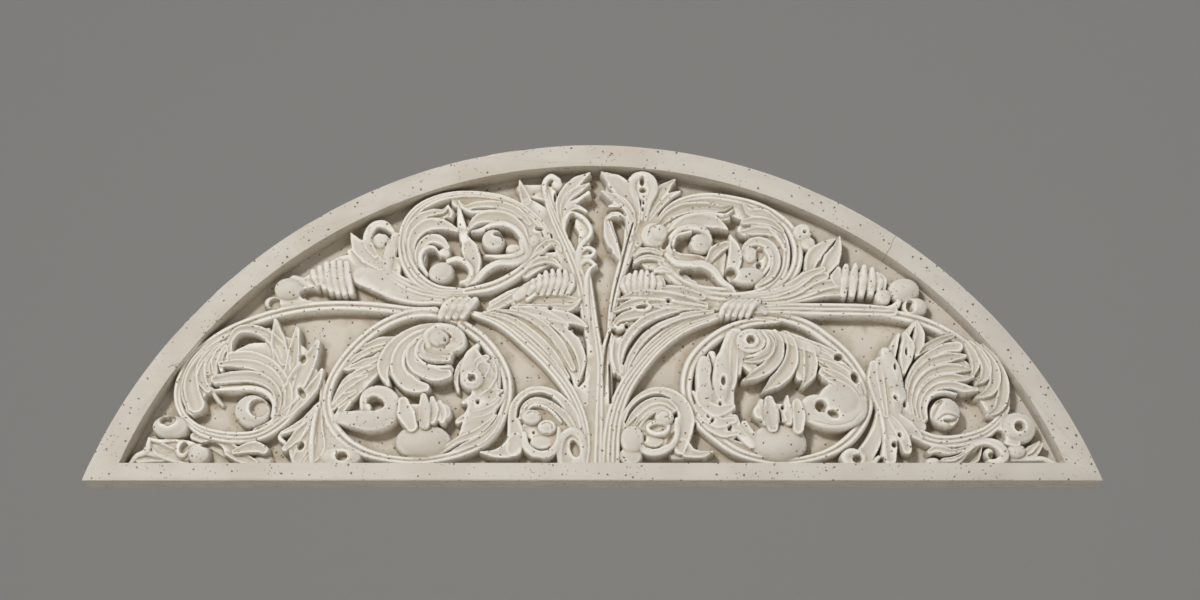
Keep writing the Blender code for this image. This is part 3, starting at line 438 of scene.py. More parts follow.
class LeftHalf(Half):
    """The left half, as the carver cut it."""

    def carve(self) -> None:
        """Cuts the motifs and then the middle stem, which stands over them."""
        super().carve()
        self.middle_stem()

    def corner_leaf(self) -> None:
        """The leaf, bosses and curled lobe that fill the sharp corner."""
        self.slab([672, 36, 640, 46, 606, 50, 580, 44], [6, 14, 16, 12], 25)
        self.leaf([653, 60, 640, 50, 622, 42, 602, 33], [7, 11, 10, 3], [30, 32, 28, 20])
        self.rib([688, 28, 674, 41, 661, 47, 656, 66], [3, 4, 5, 2], [20, 30, 34, 38])
        self.rib([656, 65, 640, 62, 622, 64, 611, 62], [2.5, 3, 3, 2], [36, 33, 32, 30])
        self.rib([660, 45, 640, 40, 618, 33, 600, 28], [4, 4, 4, 3], [32, 30, 26, 22])
        self.dome(608, 50, 10, 13, 36, fullness=0.5)
        self.hole(605, 52, 5, 8, 16, lean=20)
        self.dome(626, 83, 26, 17, 50, fullness=1.0)
        self.hole(634, 91, 5, 5, 22)
        self.hole(624, 92, 7, 7, 22)
        self.hole(627, 87, 4, 4, 22)
        self.dome(583, 43, 16, 16, 42)
        self.leaf([592, 70, 562, 62, 538, 50, 518, 38, 500, 31], [5, 9, 11, 10, 5], [30, 34, 34, 30, 26])
        self.leaf([530, 46, 512, 51, 496, 52, 486, 48], [4, 7, 9, 7], [34, 38, 42, 42], 2)
        self.dome(489, 36, 14, 9, 24)
        self.trench([576, 57, 566, 57, 555, 50, 547, 38], [3, 6, 6, 3], 8)

    def corner_scroll(self) -> None:
        """The long stem that coils into the outer scroll, with its fan and upright spray."""
        self.slab([540, 184, 508, 190, 476, 184, 458, 158, 458, 120], [9, 20, 24, 16, 10], 35)
        self.slab([545, 150, 510, 150, 482, 138], [12, 14, 12], 33)
        self.slab([558, 202, 576, 172, 590, 138, 594, 112], [8, 17, 19, 11], 34)
        self.slab([472, 214, 452, 190, 440, 160, 452, 118], [14, 28, 26, 14], 33)
        self.slab([425, 178, 420, 160], [12, 12], 34)
        self.reed([235, 262, 270, 260, 300, 263, 350, 267, 400, 267, 450, 261, 500, 247, 550, 224, 590, 193,
             611, 160, 617, 130, 610, 105, 594, 87], [5, 7, 8, 8, 8, 8, 8, 8, 8, 8, 7, 6, 5],
            [30, 32, 34, 34, 34, 34, 34, 34, 36, 36, 36, 34, 32])
        self.reed([604, 96, 585, 80, 560, 71, 525, 67, 495, 71, 468, 86, 445, 108, 425, 135],
            [5, 8, 9, 9, 9, 9, 8, 7], [34, 36, 36, 36, 36, 36, 36, 36], 3)
        self.leaf([548, 222, 575, 203, 597, 176, 606, 148, 604, 122, 594, 104], [3, 4, 5, 5, 5, 4],
            [34, 36, 38, 38, 38, 36], 1.5)
        self.leaf([560, 207, 583, 185, 595, 160, 595, 138, 588, 116], [4, 6, 8, 12, 13],
            [34, 38, 42, 44, 42])
        self.leaf([556, 208, 574, 190, 583, 170, 580, 152, 571, 138], [3, 5, 7, 8, 5], [34, 38, 40, 42, 40])
        self.leaf([550, 210, 565, 195, 573, 178, 572, 164], [3, 4, 5, 4], [36, 38, 40, 40])
        self.leaf([545, 212, 557, 198, 563, 180, 561, 164], [3, 4, 5, 4], [36, 38, 40, 40])
        self.leaf([540, 212, 550, 196, 554, 180, 552, 168], [3, 3.5, 4, 3], [36, 38, 40, 38])
        self.leaf([541, 190, 540, 212, 528, 228, 508, 230, 488, 223, 470, 207, 458, 185],
            [4, 5, 6, 7, 8, 10, 10], [36, 40, 42, 42, 42, 40, 38])
        self.leaf([538, 188, 508, 188, 478, 176, 458, 153, 451, 128, 457, 105, 475, 88, 500, 78],
            [8, 9, 8, 7, 7, 7, 6, 4], [40, 41, 41, 40, 38, 38, 36, 32], 1.5)
        self.leaf([553, 177, 530, 178, 500, 174, 475, 160, 462, 138, 460, 116], [4, 7, 8, 8, 7, 5],
            [42, 43, 43, 43, 41, 38], 2)
        self.leaf([560, 153, 530, 157, 500, 156, 477, 145, 466, 127, 468, 104], [7, 9, 9, 8, 6, 4],
            [44, 45, 46, 46, 44, 40], 3)
        self.rib([560, 138, 530, 139, 500, 139, 482, 132, 472, 118, 474, 98], [2, 3.5, 4, 4, 4, 3],
            [38, 44, 46, 46, 44, 38])
        self.rib([566, 140, 560, 128, 552, 119], [3, 3, 2], [36, 26, 16])
        self.dome(505, 107, 26, 24, 50, fullness=0.8)
        self.hole(494, 110, 13, 13, 26)
        self.leaf([470, 190, 480, 210, 484, 230], [8, 8, 3], 36)
        self.leaf([452, 150, 462, 180, 468, 210, 473, 243], [8, 12, 12, 3], [36, 38, 42, 44])
        self.leaf([455, 130, 449, 165, 444, 200, 440, 229], [7, 10, 9, 4], [36, 38, 42, 44])
        self.leaf([472, 100, 452, 128, 434, 160, 418, 188, 409, 210], [6, 12, 15, 12, 4],
            [34, 38, 42, 44, 44])
        self.leaf([472, 90, 442, 112, 421, 134, 408, 153, 402, 168], [5, 7, 8, 8, 3], [36, 38, 40, 42, 42])
        self.hole(431, 185, 4, 6, 18)
        self.hole(432, 134, 4, 8, 14, lean=-30)

    def low_spray(self) -> None:
        """The spray and eyed lobe between the two scrolls, on the rail."""
        self.slab([410, 112, 420, 82, 424, 52, 418, 32], [6, 17, 26, 26], 31)
        self.leaf([402, 155, 401, 120, 396, 90, 386, 62, 374, 45], [3, 5, 9, 13, 16], [30, 30, 30, 32, 34],
            1)
        self.dome(374, 39, 32, 15, 40, fullness=0.8)
        self.hole(371, 39, 8, 6, 14)
        self.leaf([406, 118, 425, 94, 446, 80, 460, 74], [3, 5, 5, 3], [36, 38, 38, 36])
        self.rib([460, 76, 464, 68, 456, 60], 3, 30)
        self.leaf([406, 114, 424, 86, 440, 66, 456, 50], [3, 6, 8, 4], [36, 38, 38, 36])
        self.leaf([408, 112, 417, 85, 426, 58, 437, 34], [3, 6, 10, 8], [36, 38, 38, 34])
        self.leaf([404, 112, 405, 80, 404, 52, 420, 30], [3, 6, 9, 8], [34, 36, 36, 34])
        self.rib([408, 115, 414, 80, 416, 50, 415, 32], [2, 3, 4, 4], [38, 42, 42, 36])
        self.hole(432, 55, 4, 6, 14, lean=20)

    def large_scroll(self) -> None:
        """The large scroll with its horn, fruit and crest."""
        self.slab([258, 202, 238, 193, 214, 192], [6, 9, 7], 42)
        self.slab([244, 214, 216, 206, 200, 210], [8, 14, 8], 41)
        self.slab([262, 172, 236, 166, 214, 170], [7, 9, 7], 40)
        self.slab([232, 226, 270, 204, 288, 178, 270, 152], [12, 18, 22, 14], [36, 38, 38, 38])
        self.slab([300, 200, 322, 178, 350, 150, 372, 120], [10, 14, 16, 10], [32, 34, 34, 32])
        self.slab([272, 102, 222, 104], [14, 13], 43)
        self.reed([205, 247, 240, 257, 275, 254, 310, 240, 345, 214, 374, 180, 390, 150, 395, 120, 388, 90,
             370, 66, 340, 47, 300, 36, 250, 33, 205, 41, 170, 55, 148, 74, 134, 100, 126, 130, 128, 160,
             142, 190, 165, 218, 195, 240],
            [7, 8, 8, 8, 8, 8, 7, 7, 9, 9, 8, 6, 6, 6, 7, 7, 7, 7, 8, 9, 9, 8],
            [30, 32, 34, 34, 34, 34, 34, 34, 34, 34, 34, 32, 32, 34, 36, 36, 36, 34, 32, 30, 30, 30])
        self.leaf([289, 216, 318, 212, 344, 203], [4, 7, 3], [36, 36, 30])
        self.leaf([300, 210, 330, 199, 352, 188, 370, 171], [3, 5, 5, 2], [36, 36, 34, 30])
        self.leaf([312, 190, 340, 179, 366, 171], [3, 7, 3], [38, 38, 32])
        self.leaf([318, 177, 345, 166, 368, 152, 379, 138], [2, 5, 5, 2], [38, 38, 36, 32])
        self.leaf([336, 160, 358, 150, 376, 134, 387, 116], [3, 6, 6, 2], [38, 38, 36, 32])
        self.leaf([352, 136, 372, 126, 386, 112], [3, 6, 4], [38, 36, 32])
        self.leaf([360, 121, 372, 109, 382, 94], [3, 6, 4], [38, 36, 32])
        self.rib([376, 97, 352, 94, 325, 92, 303, 100, 296, 116, 305, 131, 325, 136, 338, 127, 340, 113],
            [9, 13, 16, 16, 14, 12, 10, 8, 6], [38, 44, 46, 46, 44, 42, 40, 38, 34])
        self.hole(325, 118, 9.5, 10.5, 14)
        self.dome(333, 112, 5, 6, 38, fullness=0.6)
        self.dome(251, 62, 41, 27, 46, fullness=0.9)
        self.leaf([280, 119, 276, 102, 267, 82], [8, 14, 9], [47, 51, 50], 1.5)
        self.leaf([250, 127, 248, 106, 248, 85], [5, 10, 8], [50, 54, 52], 1.5)
        self.leaf([237, 124, 234, 106, 236, 90], [4, 7.5, 5], [48, 51, 48], 1.2)
        self.leaf([226, 118, 221, 104, 222, 91], [4, 6, 5], [45, 47, 45], 1)
        self.leaf([225, 238, 258, 232, 288, 214, 306, 190, 311, 166, 303, 146], [3, 5, 7, 9, 10, 3],
            [36, 38, 40, 42, 43, 42], 1.5)
        self.rib([232, 233, 262, 225, 287, 206, 298, 182, 296, 160], [2, 2.5, 3, 3, 2], [38, 42, 44, 45, 43])
        self.leaf([236, 230, 262, 220, 283, 201, 290, 178, 284, 158, 266, 144, 248, 141],
            [3, 5, 7, 9, 12, 13, 7], [38, 42, 45, 47, 47, 46, 44], 1.6)
        self.rib([240, 227, 262, 214, 277, 196, 281, 176, 274, 160], [2, 2.5, 3, 3, 2], [40, 45, 48, 49, 46])
        self.leaf([242, 225, 258, 211, 270, 192, 266, 175, 248, 164, 228, 159, 215, 161],
            [2, 4, 6, 8, 10, 11, 7], [41, 46, 49, 50, 51, 51, 48], 1.8)
        self.rib([246, 222, 259, 206, 262, 190, 250, 176, 232, 171, 212, 171], [2, 2.5, 2.5, 2.5, 2.5, 2],
            [44, 49, 52, 52, 51, 49])
        self.leaf([248, 218, 256, 202, 252, 190, 238, 184, 222, 183, 214, 184], [3, 5, 6, 6.5, 6, 5],
            [44, 49, 52, 53, 53, 50], 1.4)
        self.rib([244, 204, 247, 220, 232, 231, 212, 229, 198, 218, 198, 207, 214, 201],
            [5, 5, 5, 7, 9, 9, 8], [46, 49, 49, 49, 48, 46, 44])
        self.dome(228, 215, 15, 13, 54, fullness=0.7)
        self.groove([228, 203, 216, 207, 213, 218, 222, 226], 1.6, 4)
        self.hole(219, 212, 1.8, 1.8, 38)

    def large_scroll_leaves(self) -> None:
        """The leaves on the large scroll's inner edge."""
        self.slab([146, 182, 144, 150, 150, 116], [6, 8, 8], 33)
        self.slab([176, 192, 162, 160, 160, 125, 170, 98, 192, 66], [9, 17, 22, 20, 8], [34, 36, 36, 36, 34])
        self.leaf([192, 120, 176, 130, 155, 150, 148, 168, 150, 180], [3, 5, 9, 9, 5], [32, 36, 40, 40, 36])
        self.rib([172, 206, 182, 190, 184, 172, 180, 156], [4, 9, 13, 17], [34, 38, 42, 46])
        self.dome(179, 155, 18, 17, 48, fullness=0.6)
        self.leaf([176, 168, 170, 182, 158, 188], [4, 5, 5], [42, 38, 34])
        self.hole(179, 155, 5, 5, 28)
        self.leaf([200, 138, 203, 158, 196, 180, 188, 190], [2, 4, 4, 2], [22, 30, 32, 30])
        self.dome(180, 122, 9, 8, 38)
        self.hole(170, 121, 3, 3, 14)
        self.leaf([165, 112, 158, 124, 146, 133, 134, 138], [5, 9, 9, 2], [34, 36, 38, 36])
        self.leaf([200, 92, 185, 100, 160, 105, 140, 118, 133, 130], [4, 6, 6, 5, 3], [32, 36, 38, 38, 36])
        self.leaf([188, 82, 170, 90, 152, 98], [7, 9, 4], [36, 36, 34])
        self.leaf([225, 45, 200, 62, 172, 74, 152, 90, 143, 100], [3, 5, 6, 5, 2], [32, 38, 40, 40, 38])
        self.leaf([215, 40, 190, 53, 164, 64, 147, 80, 136, 100], [3, 5, 7, 6, 3], [32, 38, 40, 40, 36])

    def foot_scroll(self) -> None:
        """The small scroll at the foot of the middle."""
        self.slab([104, 104, 78, 98, 52, 86], [14, 20, 12], 31)
        self.slab([58, 80, 36, 70], [12, 14], 30)
        self.slab([100, 80, 72, 66, 56, 60], [8, 10, 8], 31)
        self.leaf([165, 45, 145, 43, 125, 48, 112, 62], [2, 6, 12, 13], 36, 1.2)
        self.leaf([116, 50, 114, 75, 117, 100, 112, 120, 96, 135, 76, 138, 54, 130, 34, 110, 20, 84, 14, 60],
            [12, 12, 8, 6.5, 6, 6, 6.5, 7, 7, 6], [36, 36, 37, 38, 40, 41, 41, 39, 37, 35], 1.2)
        self.trench([111, 98, 107, 114, 94, 127, 78, 131, 60, 127], [1, 2, 2.6, 2.6, 1], 18)
        self.leaf([106, 96, 102, 111, 90, 121, 74, 121, 56, 112, 38, 96, 26, 78],
            [2.5, 4, 4.5, 5, 5.5, 6, 4], [40, 44, 45, 45, 44, 42, 38], 1.4)
        self.rib([98, 106, 88, 114, 74, 113, 58, 103, 46, 90], [2, 2.5, 2.5, 2.5, 2], [42, 46, 46, 44, 40])
        self.dome(90, 97, 14.5, 11, 49, fullness=0.8)
        self.groove([96, 101, 88, 105, 80, 102, 77, 96], 1.4, 4)
        self.dome(67, 82, 14, 11, 47, fullness=0.7)
        self.groove([75, 85, 67, 88, 60, 85, 59, 79], 1.4, 4)
        self.rib([101, 72, 98, 54, 84, 42, 68, 41, 55, 50, 49, 66, 50, 80], [4, 6, 7, 7, 6, 5, 3],
            [38, 40, 42, 42, 42, 41, 38])
        self.dome(76, 60, 16, 10, 36, fullness=0.5)
        self.hole(87, 75, 1.8, 1.8, 20)
        self.slab([30, 32, 31, 60], [15, 14], 35)
        self.rib([47, 30, 48, 52, 43, 68, 30, 76, 18, 69, 13, 52, 14, 32], [4, 5, 6, 6, 6, 5, 4],
            [37, 40, 42, 43, 42, 40, 37])
        self.hole(26, 51, 6, 12, 14, lean=-16)
        self.hole(140, 33, 20, 2.5, 8)
        self.hole(92, 33, 16, 2.5, 10)

    def stem_bundle(self) -> None:
        """The bundle of stems that rises from the foot to the tie."""
        self.slab([150, 254, 96, 240, 48, 214, 20, 170, 14, 120], [8, 20, 24, 16, 8], [30, 31, 32, 33, 33])
        self.reed([178, 256, 140, 243, 100, 212, 60, 172, 30, 130, 14, 90, 9, 55, 12, 27],
            [4, 8, 9, 9, 9, 8, 7, 6], [32, 34, 36, 37, 38, 38, 38, 36], 3)
        self.leaf([162, 257, 125, 247, 92, 225, 62, 196, 36, 158], [2, 5, 6, 6, 3], [36, 40, 42, 42, 39],
            1.8)
        self.leaf([142, 260, 105, 253, 74, 235, 48, 207, 28, 170], [2, 5, 6.5, 7, 4], [37, 42, 44, 43, 40],
            1.8)
        self.leaf([112, 263, 72, 251, 40, 228, 20, 198, 15, 172, 22, 150], [3, 7, 10, 9, 7, 2],
            [38, 43, 45, 44, 41, 35], 1.4)
        self.trench([7, 208, 6, 182, 10, 162, 20, 146], [0.8, 2, 4, 1.5], 18)
        self.leaf([120, 262, 85, 257, 50, 249, 25, 243, 9, 234], [4, 7, 10, 9, 3], [36, 42, 45, 45, 42], 1.5)
        self.hole(33, 231, 2.4, 2.4, 14)
        self.trench([27, 227, 17, 222, 8, 229], [2, 4.5, 2], 10)
        self.leaf([110, 266, 80, 262, 55, 262, 30, 264, 18, 275], [4, 6, 7, 7, 2], [36, 40, 43, 43, 42])

    def tie(self) -> None:
        """The tie round the stems."""
        for x in range(227, 193, -11):
            self.rib([x, 250, x - 7, 262, x - 19, 275], [5, 7, 5], [40, 47, 42])
        self.rib([196, 251, 186, 262, 178, 268], [5, 7, 4], [36, 42, 38])

    def shoulder(self) -> None:
        """The ribbed bud, bosses and leaves at the shoulder."""
        self.slab([434, 300, 400, 314, 366, 326, 340, 330], [8, 15, 20, 18], 33)
        self.slab([364, 350, 340, 352, 318, 344, 304, 330], [5, 16, 20, 14], 33)
        self.dome(455, 292, 22, 18, 46)
        self.rib([447, 305, 430, 302, 412, 295], [9, 6, 3], [38, 36, 34])
        self.rib([444, 296, 440, 284, 432, 276], [5, 4, 4], 34)
        self.dome(477, 272, 15, 10, 36)
        self.hole(475, 270, 9, 8, 16)
        self.rib([462, 272, 440, 272, 410, 271, 380, 272], [7, 8, 4, 3], [34, 34, 24, 18])
        self.hole(422, 284, 15, 8, 12)
        tops = [318, 324, 330, 332, 332, 331]
        feet = [300, 294, 289, 286, 285, 286]
        for x, top, foot in zip(range(419, 359, -10), tops, feet):
            self.rib([x, top, x - 3, (top + foot) / 2, x - 8, foot], [4.4, 5.2, 4.6], [40, 46, 41])
        self.leaf([318, 328, 338, 345, 351, 357, 363, 377], [8, 14, 12, 1.5], [35, 38, 40, 40], 1.3)
        self.leaf([326, 344, 336, 358, 342, 371], [5, 7, 2], [38, 41, 40], 1.4)
        self.rib([334, 350, 338, 372, 328, 388, 312, 390, 301, 381], [6, 7, 7, 7, 4], [38, 42, 44, 44, 40])
        self.dome(318, 366, 13, 12, 45)
        self.trench([327, 376, 322, 382, 313, 381], [1.5, 2.5, 2], 20)
        self.hole(315, 379, 3.2, 3, 14)
        self.hole(309, 359, 2.4, 3, 14)
        self.rib([296, 374, 303, 352, 307, 332, 305, 314], [6, 10, 9, 4], [38, 41, 38, 34])

    def strands(self) -> None:
        """The strands that run from the tie to the shoulder."""
        self.slab([294, 334, 298, 312, 296, 296], [8, 9, 8], 33)
        self.slab([215, 277, 262, 282, 308, 300, 345, 312], [5, 10, 19, 14], [32, 33, 34, 34])
        self.reed([360, 306, 335, 300, 300, 284, 265, 275, 235, 274, 210, 272], [3, 6, 7, 6, 5, 4],
            [30, 32, 34, 34, 34, 32])
        self.reed([350, 316, 325, 311, 295, 297, 262, 284, 230, 279, 200, 277], [3, 7, 8, 7, 6, 4],
            [30, 34, 34, 34, 34, 32])
        self.reed([330, 332, 308, 318, 283, 302, 255, 290, 225, 284, 190, 282], [3, 8, 9, 8, 6, 4],
            [32, 34, 36, 36, 34, 32], 3)

    def oval_scroll(self) -> None:
        """The oval scroll under the arch, with its two fans."""
        self.slab([204, 428, 150, 428, 112, 408, 88, 376, 84, 345], [9, 13, 13, 12, 10], 31)
        self.slab([216, 410, 246, 398, 264, 372, 262, 336], [8, 16, 18, 12], 33)
        self.slab([118, 338, 96, 352, 72, 366], [10, 12, 8], 30)
        self.slab([100, 318, 78, 336, 54, 342], [8, 12, 9], 29)
        self.slab([202, 422, 198, 396, 192, 370], [2, 6, 8], 35)
        self.slab([108, 448, 88, 444, 68, 442], [7, 11, 13], 31)
        self.slab([98, 426, 76, 408, 60, 384], [8, 12, 6], 31)
        self.reed([196, 290, 235, 292, 262, 308, 279, 335, 284, 365, 279, 393, 264, 414, 238, 430, 205, 438,
             165, 438, 128, 430, 98, 412, 74, 388, 64, 364], [5, 8, 10, 10, 9, 8, 7, 6, 5.5, 5, 5, 6, 6, 4],
            [32, 35, 37, 38, 38, 38, 38, 38, 37, 36, 35, 34, 34, 32], 3)
        self.leaf([276, 350, 277, 375, 262, 399, 240, 409, 224, 411, 217, 420], [2.5, 5, 7, 6, 5, 1.5],
            [36, 40, 42, 43, 43, 43], 1.6)
        self.rib([217, 419, 212, 408, 215, 400, 226, 397], [1.5, 2.5, 2.5, 1.5], [43, 42, 40, 38])
        self.trench([220, 400, 212, 394, 207, 387], [2, 4, 2], 12)
        self.leaf([266, 335, 272, 358, 264, 378, 245, 390, 222, 389, 205, 382], [2.5, 6, 9, 10, 8.5, 4],
            [36, 41, 43, 45, 45, 42], 1.6)
        self.trench([246, 373, 226, 371, 208, 365], [1, 4.5, 5], 16)
        self.leaf([256, 322, 262, 340, 256, 358, 243, 367, 228, 365, 217, 355], [2, 5, 6, 7, 7.5, 4],
            [38, 42, 45, 47, 47, 45], 1.4)
        self.rib([248, 314, 257, 330, 257, 345, 248, 354, 237, 354, 231, 347], [2.5, 3.5, 3.5, 3.5, 3, 1.5],
            [40, 43, 45, 46, 45, 42])
        self.hole(246, 338, 5, 11, 20, lean=15)
        self.dome(222, 346, 9, 8, 45)
        self.hole(228, 335, 7, 4, 16, lean=-30)
        self.dome(227, 318, 19, 15, 47, lean=-15)
        self.hole(198, 318, 11, 10, 22)
        self.rib([216, 334, 202, 337, 188, 330, 181, 318, 185, 306, 197, 302], [4, 4.5, 4.5, 4, 3.5, 3],
            [43, 44, 43, 41, 38, 36])
        self.leaf([95, 394, 115, 413, 142, 421, 172, 421, 193, 417, 202, 427], [4, 6, 6, 6, 5, 1.5],
            [36, 40, 42, 42, 42, 42], 1.6)
        self.rib([108, 402, 136, 411, 162, 410, 184, 410, 197, 417], [2.5, 3, 3, 3, 1.5],
            [40, 42, 43, 43, 42])
        self.leaf([97, 362, 108, 384, 128, 398, 152, 402, 174, 397, 186, 384], [3, 8, 10, 10, 8.5, 3],
            [36, 40, 44, 45, 45, 42], 1.8)
        self.rib([98, 350, 105, 370, 118, 384, 135, 391, 152, 388, 166, 382, 181, 380],
            [4, 4.5, 4.5, 4.5, 4.5, 4, 2], [38, 43, 46, 47, 46, 44, 40])
        self.trench([186, 376, 174, 372, 168, 364], [2, 4.5, 2], 14)
        self.trench([160, 381, 140, 384, 122, 378, 109, 362], [0.8, 1.6, 2.6, 2], 14)
        self.dome(149, 367, 17, 16, 48, fullness=0.8)
        self.trench([146, 374, 135, 374, 123, 364], [1.5, 4.5, 2.5], 14)
        self.dome(119, 354, 11, 8, 38)
        self.rib([108, 366, 105, 350, 116, 343, 136, 341, 160, 343], [3, 4, 4, 3.5, 2], [38, 39, 41, 40, 36])
        self.rib([92, 362, 99, 342, 116, 333, 142, 331, 159, 322, 175, 306, 188, 300],
            [4, 5, 5.5, 5, 5, 5, 3], [34, 38, 41, 41, 41, 38, 34])
        self.leaf([192, 374, 184, 352, 178, 332, 180, 314, 190, 302], [5, 13, 12, 8, 4],
            [33, 36, 36, 34, 32], 0.9)
        self.reed([190, 289, 150, 297, 115, 315, 90, 337, 72, 356, 66, 372], [6, 8, 8, 7, 6, 4],
            [34, 36, 37, 37, 36, 34])
        self.dome(88, 366, 10, 11, 38)
        self.dome(84, 382, 7, 5, 36)
        self.hole(80, 385, 5, 2.2, 12)
        self.leaf([90, 344, 74, 357, 62, 364, 52, 360, 47, 350], [2, 6, 6, 5, 2], [35, 38, 40, 39, 38])
        self.hole(75, 343, 3, 1.6, 12)
        self.leaf([104, 322, 86, 333, 70, 337, 56, 333, 46, 324], [2, 5, 6, 5, 2], [34, 37, 39, 38, 36])
        self.leaf([100, 430, 106, 446, 110, 460], [8, 6, 1.5], [33, 37, 38])

    def inner_bud(self) -> None:
        """The ribbed bud beside the middle."""
        self.slab([112, 276, 70, 270, 24, 268], [12, 16, 8], 31)
        self.slab([98, 294, 66, 302, 36, 304], [8, 15, 12], 36)
        self.slab([150, 270, 120, 284, 96, 296], [6, 9, 6], 31)
        spaces = 6
        for rib in range(spaces + 1):
            share = rib / spaces
            x = 92 - 58 * share
            top = 300 + 20 * math.sin(min(share * 1.6 + 0.15, 1) * math.pi / 2) - 40 * max(share - 0.8, 0)
            self.rib([x - 3, top, x - 4, (top + 286) / 2, x + 3, 284], [3.5, 5.4, 3.6], [40, 47, 41])
        self.leaf([110, 272, 92, 270, 65, 276, 38, 276, 20, 276], [9, 10, 10, 8, 2], [36, 38, 38, 38, 36])
        self.rib([113, 280, 100, 290, 94, 296], [7, 8, 5], [40, 42, 38])
        self.rib([97, 274, 86, 282], [3, 3], [44, 44])
        self.leaf([155, 262, 140, 268, 120, 280, 110, 290], [4, 6, 6, 3], [34, 36, 36, 34])
        self.hole(63, 262, 3, 2.5, 16)

    def plume(self) -> None:
        """The plume under the crown."""
        self.slab([20, 452, 36, 428, 48, 400, 46, 360, 30, 310, 20, 270], [10, 16, 12, 10, 10, 8], 32)
        self.slab([20, 394, 12, 380, 14, 355, 12, 322], [8, 9, 9, 9], 31)
        self.slab([66, 450, 60, 420], [10, 8], 32)
        self.reed([71, 448, 66, 425, 53, 392, 34, 350, 18, 305, 11, 262, 6, 215], [4, 6, 7.5, 9, 9, 7, 4],
            [35, 37, 37, 37, 36, 35, 32], 3)
        self.rib([71, 436, 72, 456, 62, 465, 51, 459], [3, 4, 4.5, 4], [38, 41, 43, 42])
        self.dome(53, 453, 8, 7.5, 44)
        self.hole(64, 455, 2.2, 3.4, 18)
        self.hole(56.5, 434, 1.3, 5.5, 14)
        self.leaf([48, 396, 49, 424, 40, 441, 27, 454, 4, 469], [3, 6, 8, 8, 2], [36, 40, 43, 45, 46], 1.5)
        self.leaf([45, 398, 44, 418, 36, 433, 20, 444, 5, 453], [2, 5, 6.5, 6, 2], [38, 42, 44, 45, 44], 1.8)
        self.rib([42, 406, 34, 421, 20, 428, 6, 438], [2.5, 3.5, 4, 4], [40, 43, 44, 46])
        self.trench([18, 424, 6, 428, -2, 424], [1, 4, 2], 14)
        self.leaf([44, 398, 38, 411, 24, 417, 9, 410], [2, 3.5, 4, 2.5], [38, 42, 43, 44])
        self.rib([43, 385, 42, 398, 31, 407, 16, 402, 5, 390, 2, 379, 8, 369, 18, 361],
            [3.5, 4, 3.5, 3.5, 3.5, 3.5, 3.5, 3], [38, 41, 43, 44, 43, 41, 39, 37])
        self.trench([30, 402, 33, 388, 33, 369], [4, 6, 1.5], 8)
        self.rib([20, 322, 20, 345, 15, 362, 3, 374], [5, 6, 5, 2], [37, 40, 40, 38])
        self.trench([12, 357, 4, 358], [1.4, 1.4], 14)
        self.rib([19, 348, 8, 355, -3, 350, 0, 343, 12, 341], [3, 3, 3, 3, 2.5], [40, 41, 42, 41, 40])
        self.rib([17, 332, 8, 337, -3, 331], [4, 4, 2.5], [39, 40, 38])
        self.rib([6, 250, 9, 290, 8, 312, 2, 324, -6, 329], [4, 4, 4, 3.5, 2], [35, 38, 39, 40, 39])

    def middle_stem(self) -> None:
        """The reeded stem in the middle."""
        self.slab([0, 27, 0, 100, -2, 180, 4, 240], [18, 16, 12, 5], 31)
        self.reed([-8, 27, -10, 80, -11, 130, -12, 180, -4, 240, 2, 290, 6, 320], [7, 7, 6, 6, 5, 4, 3],
            [36, 36, 36, 34, 34, 34, 34])


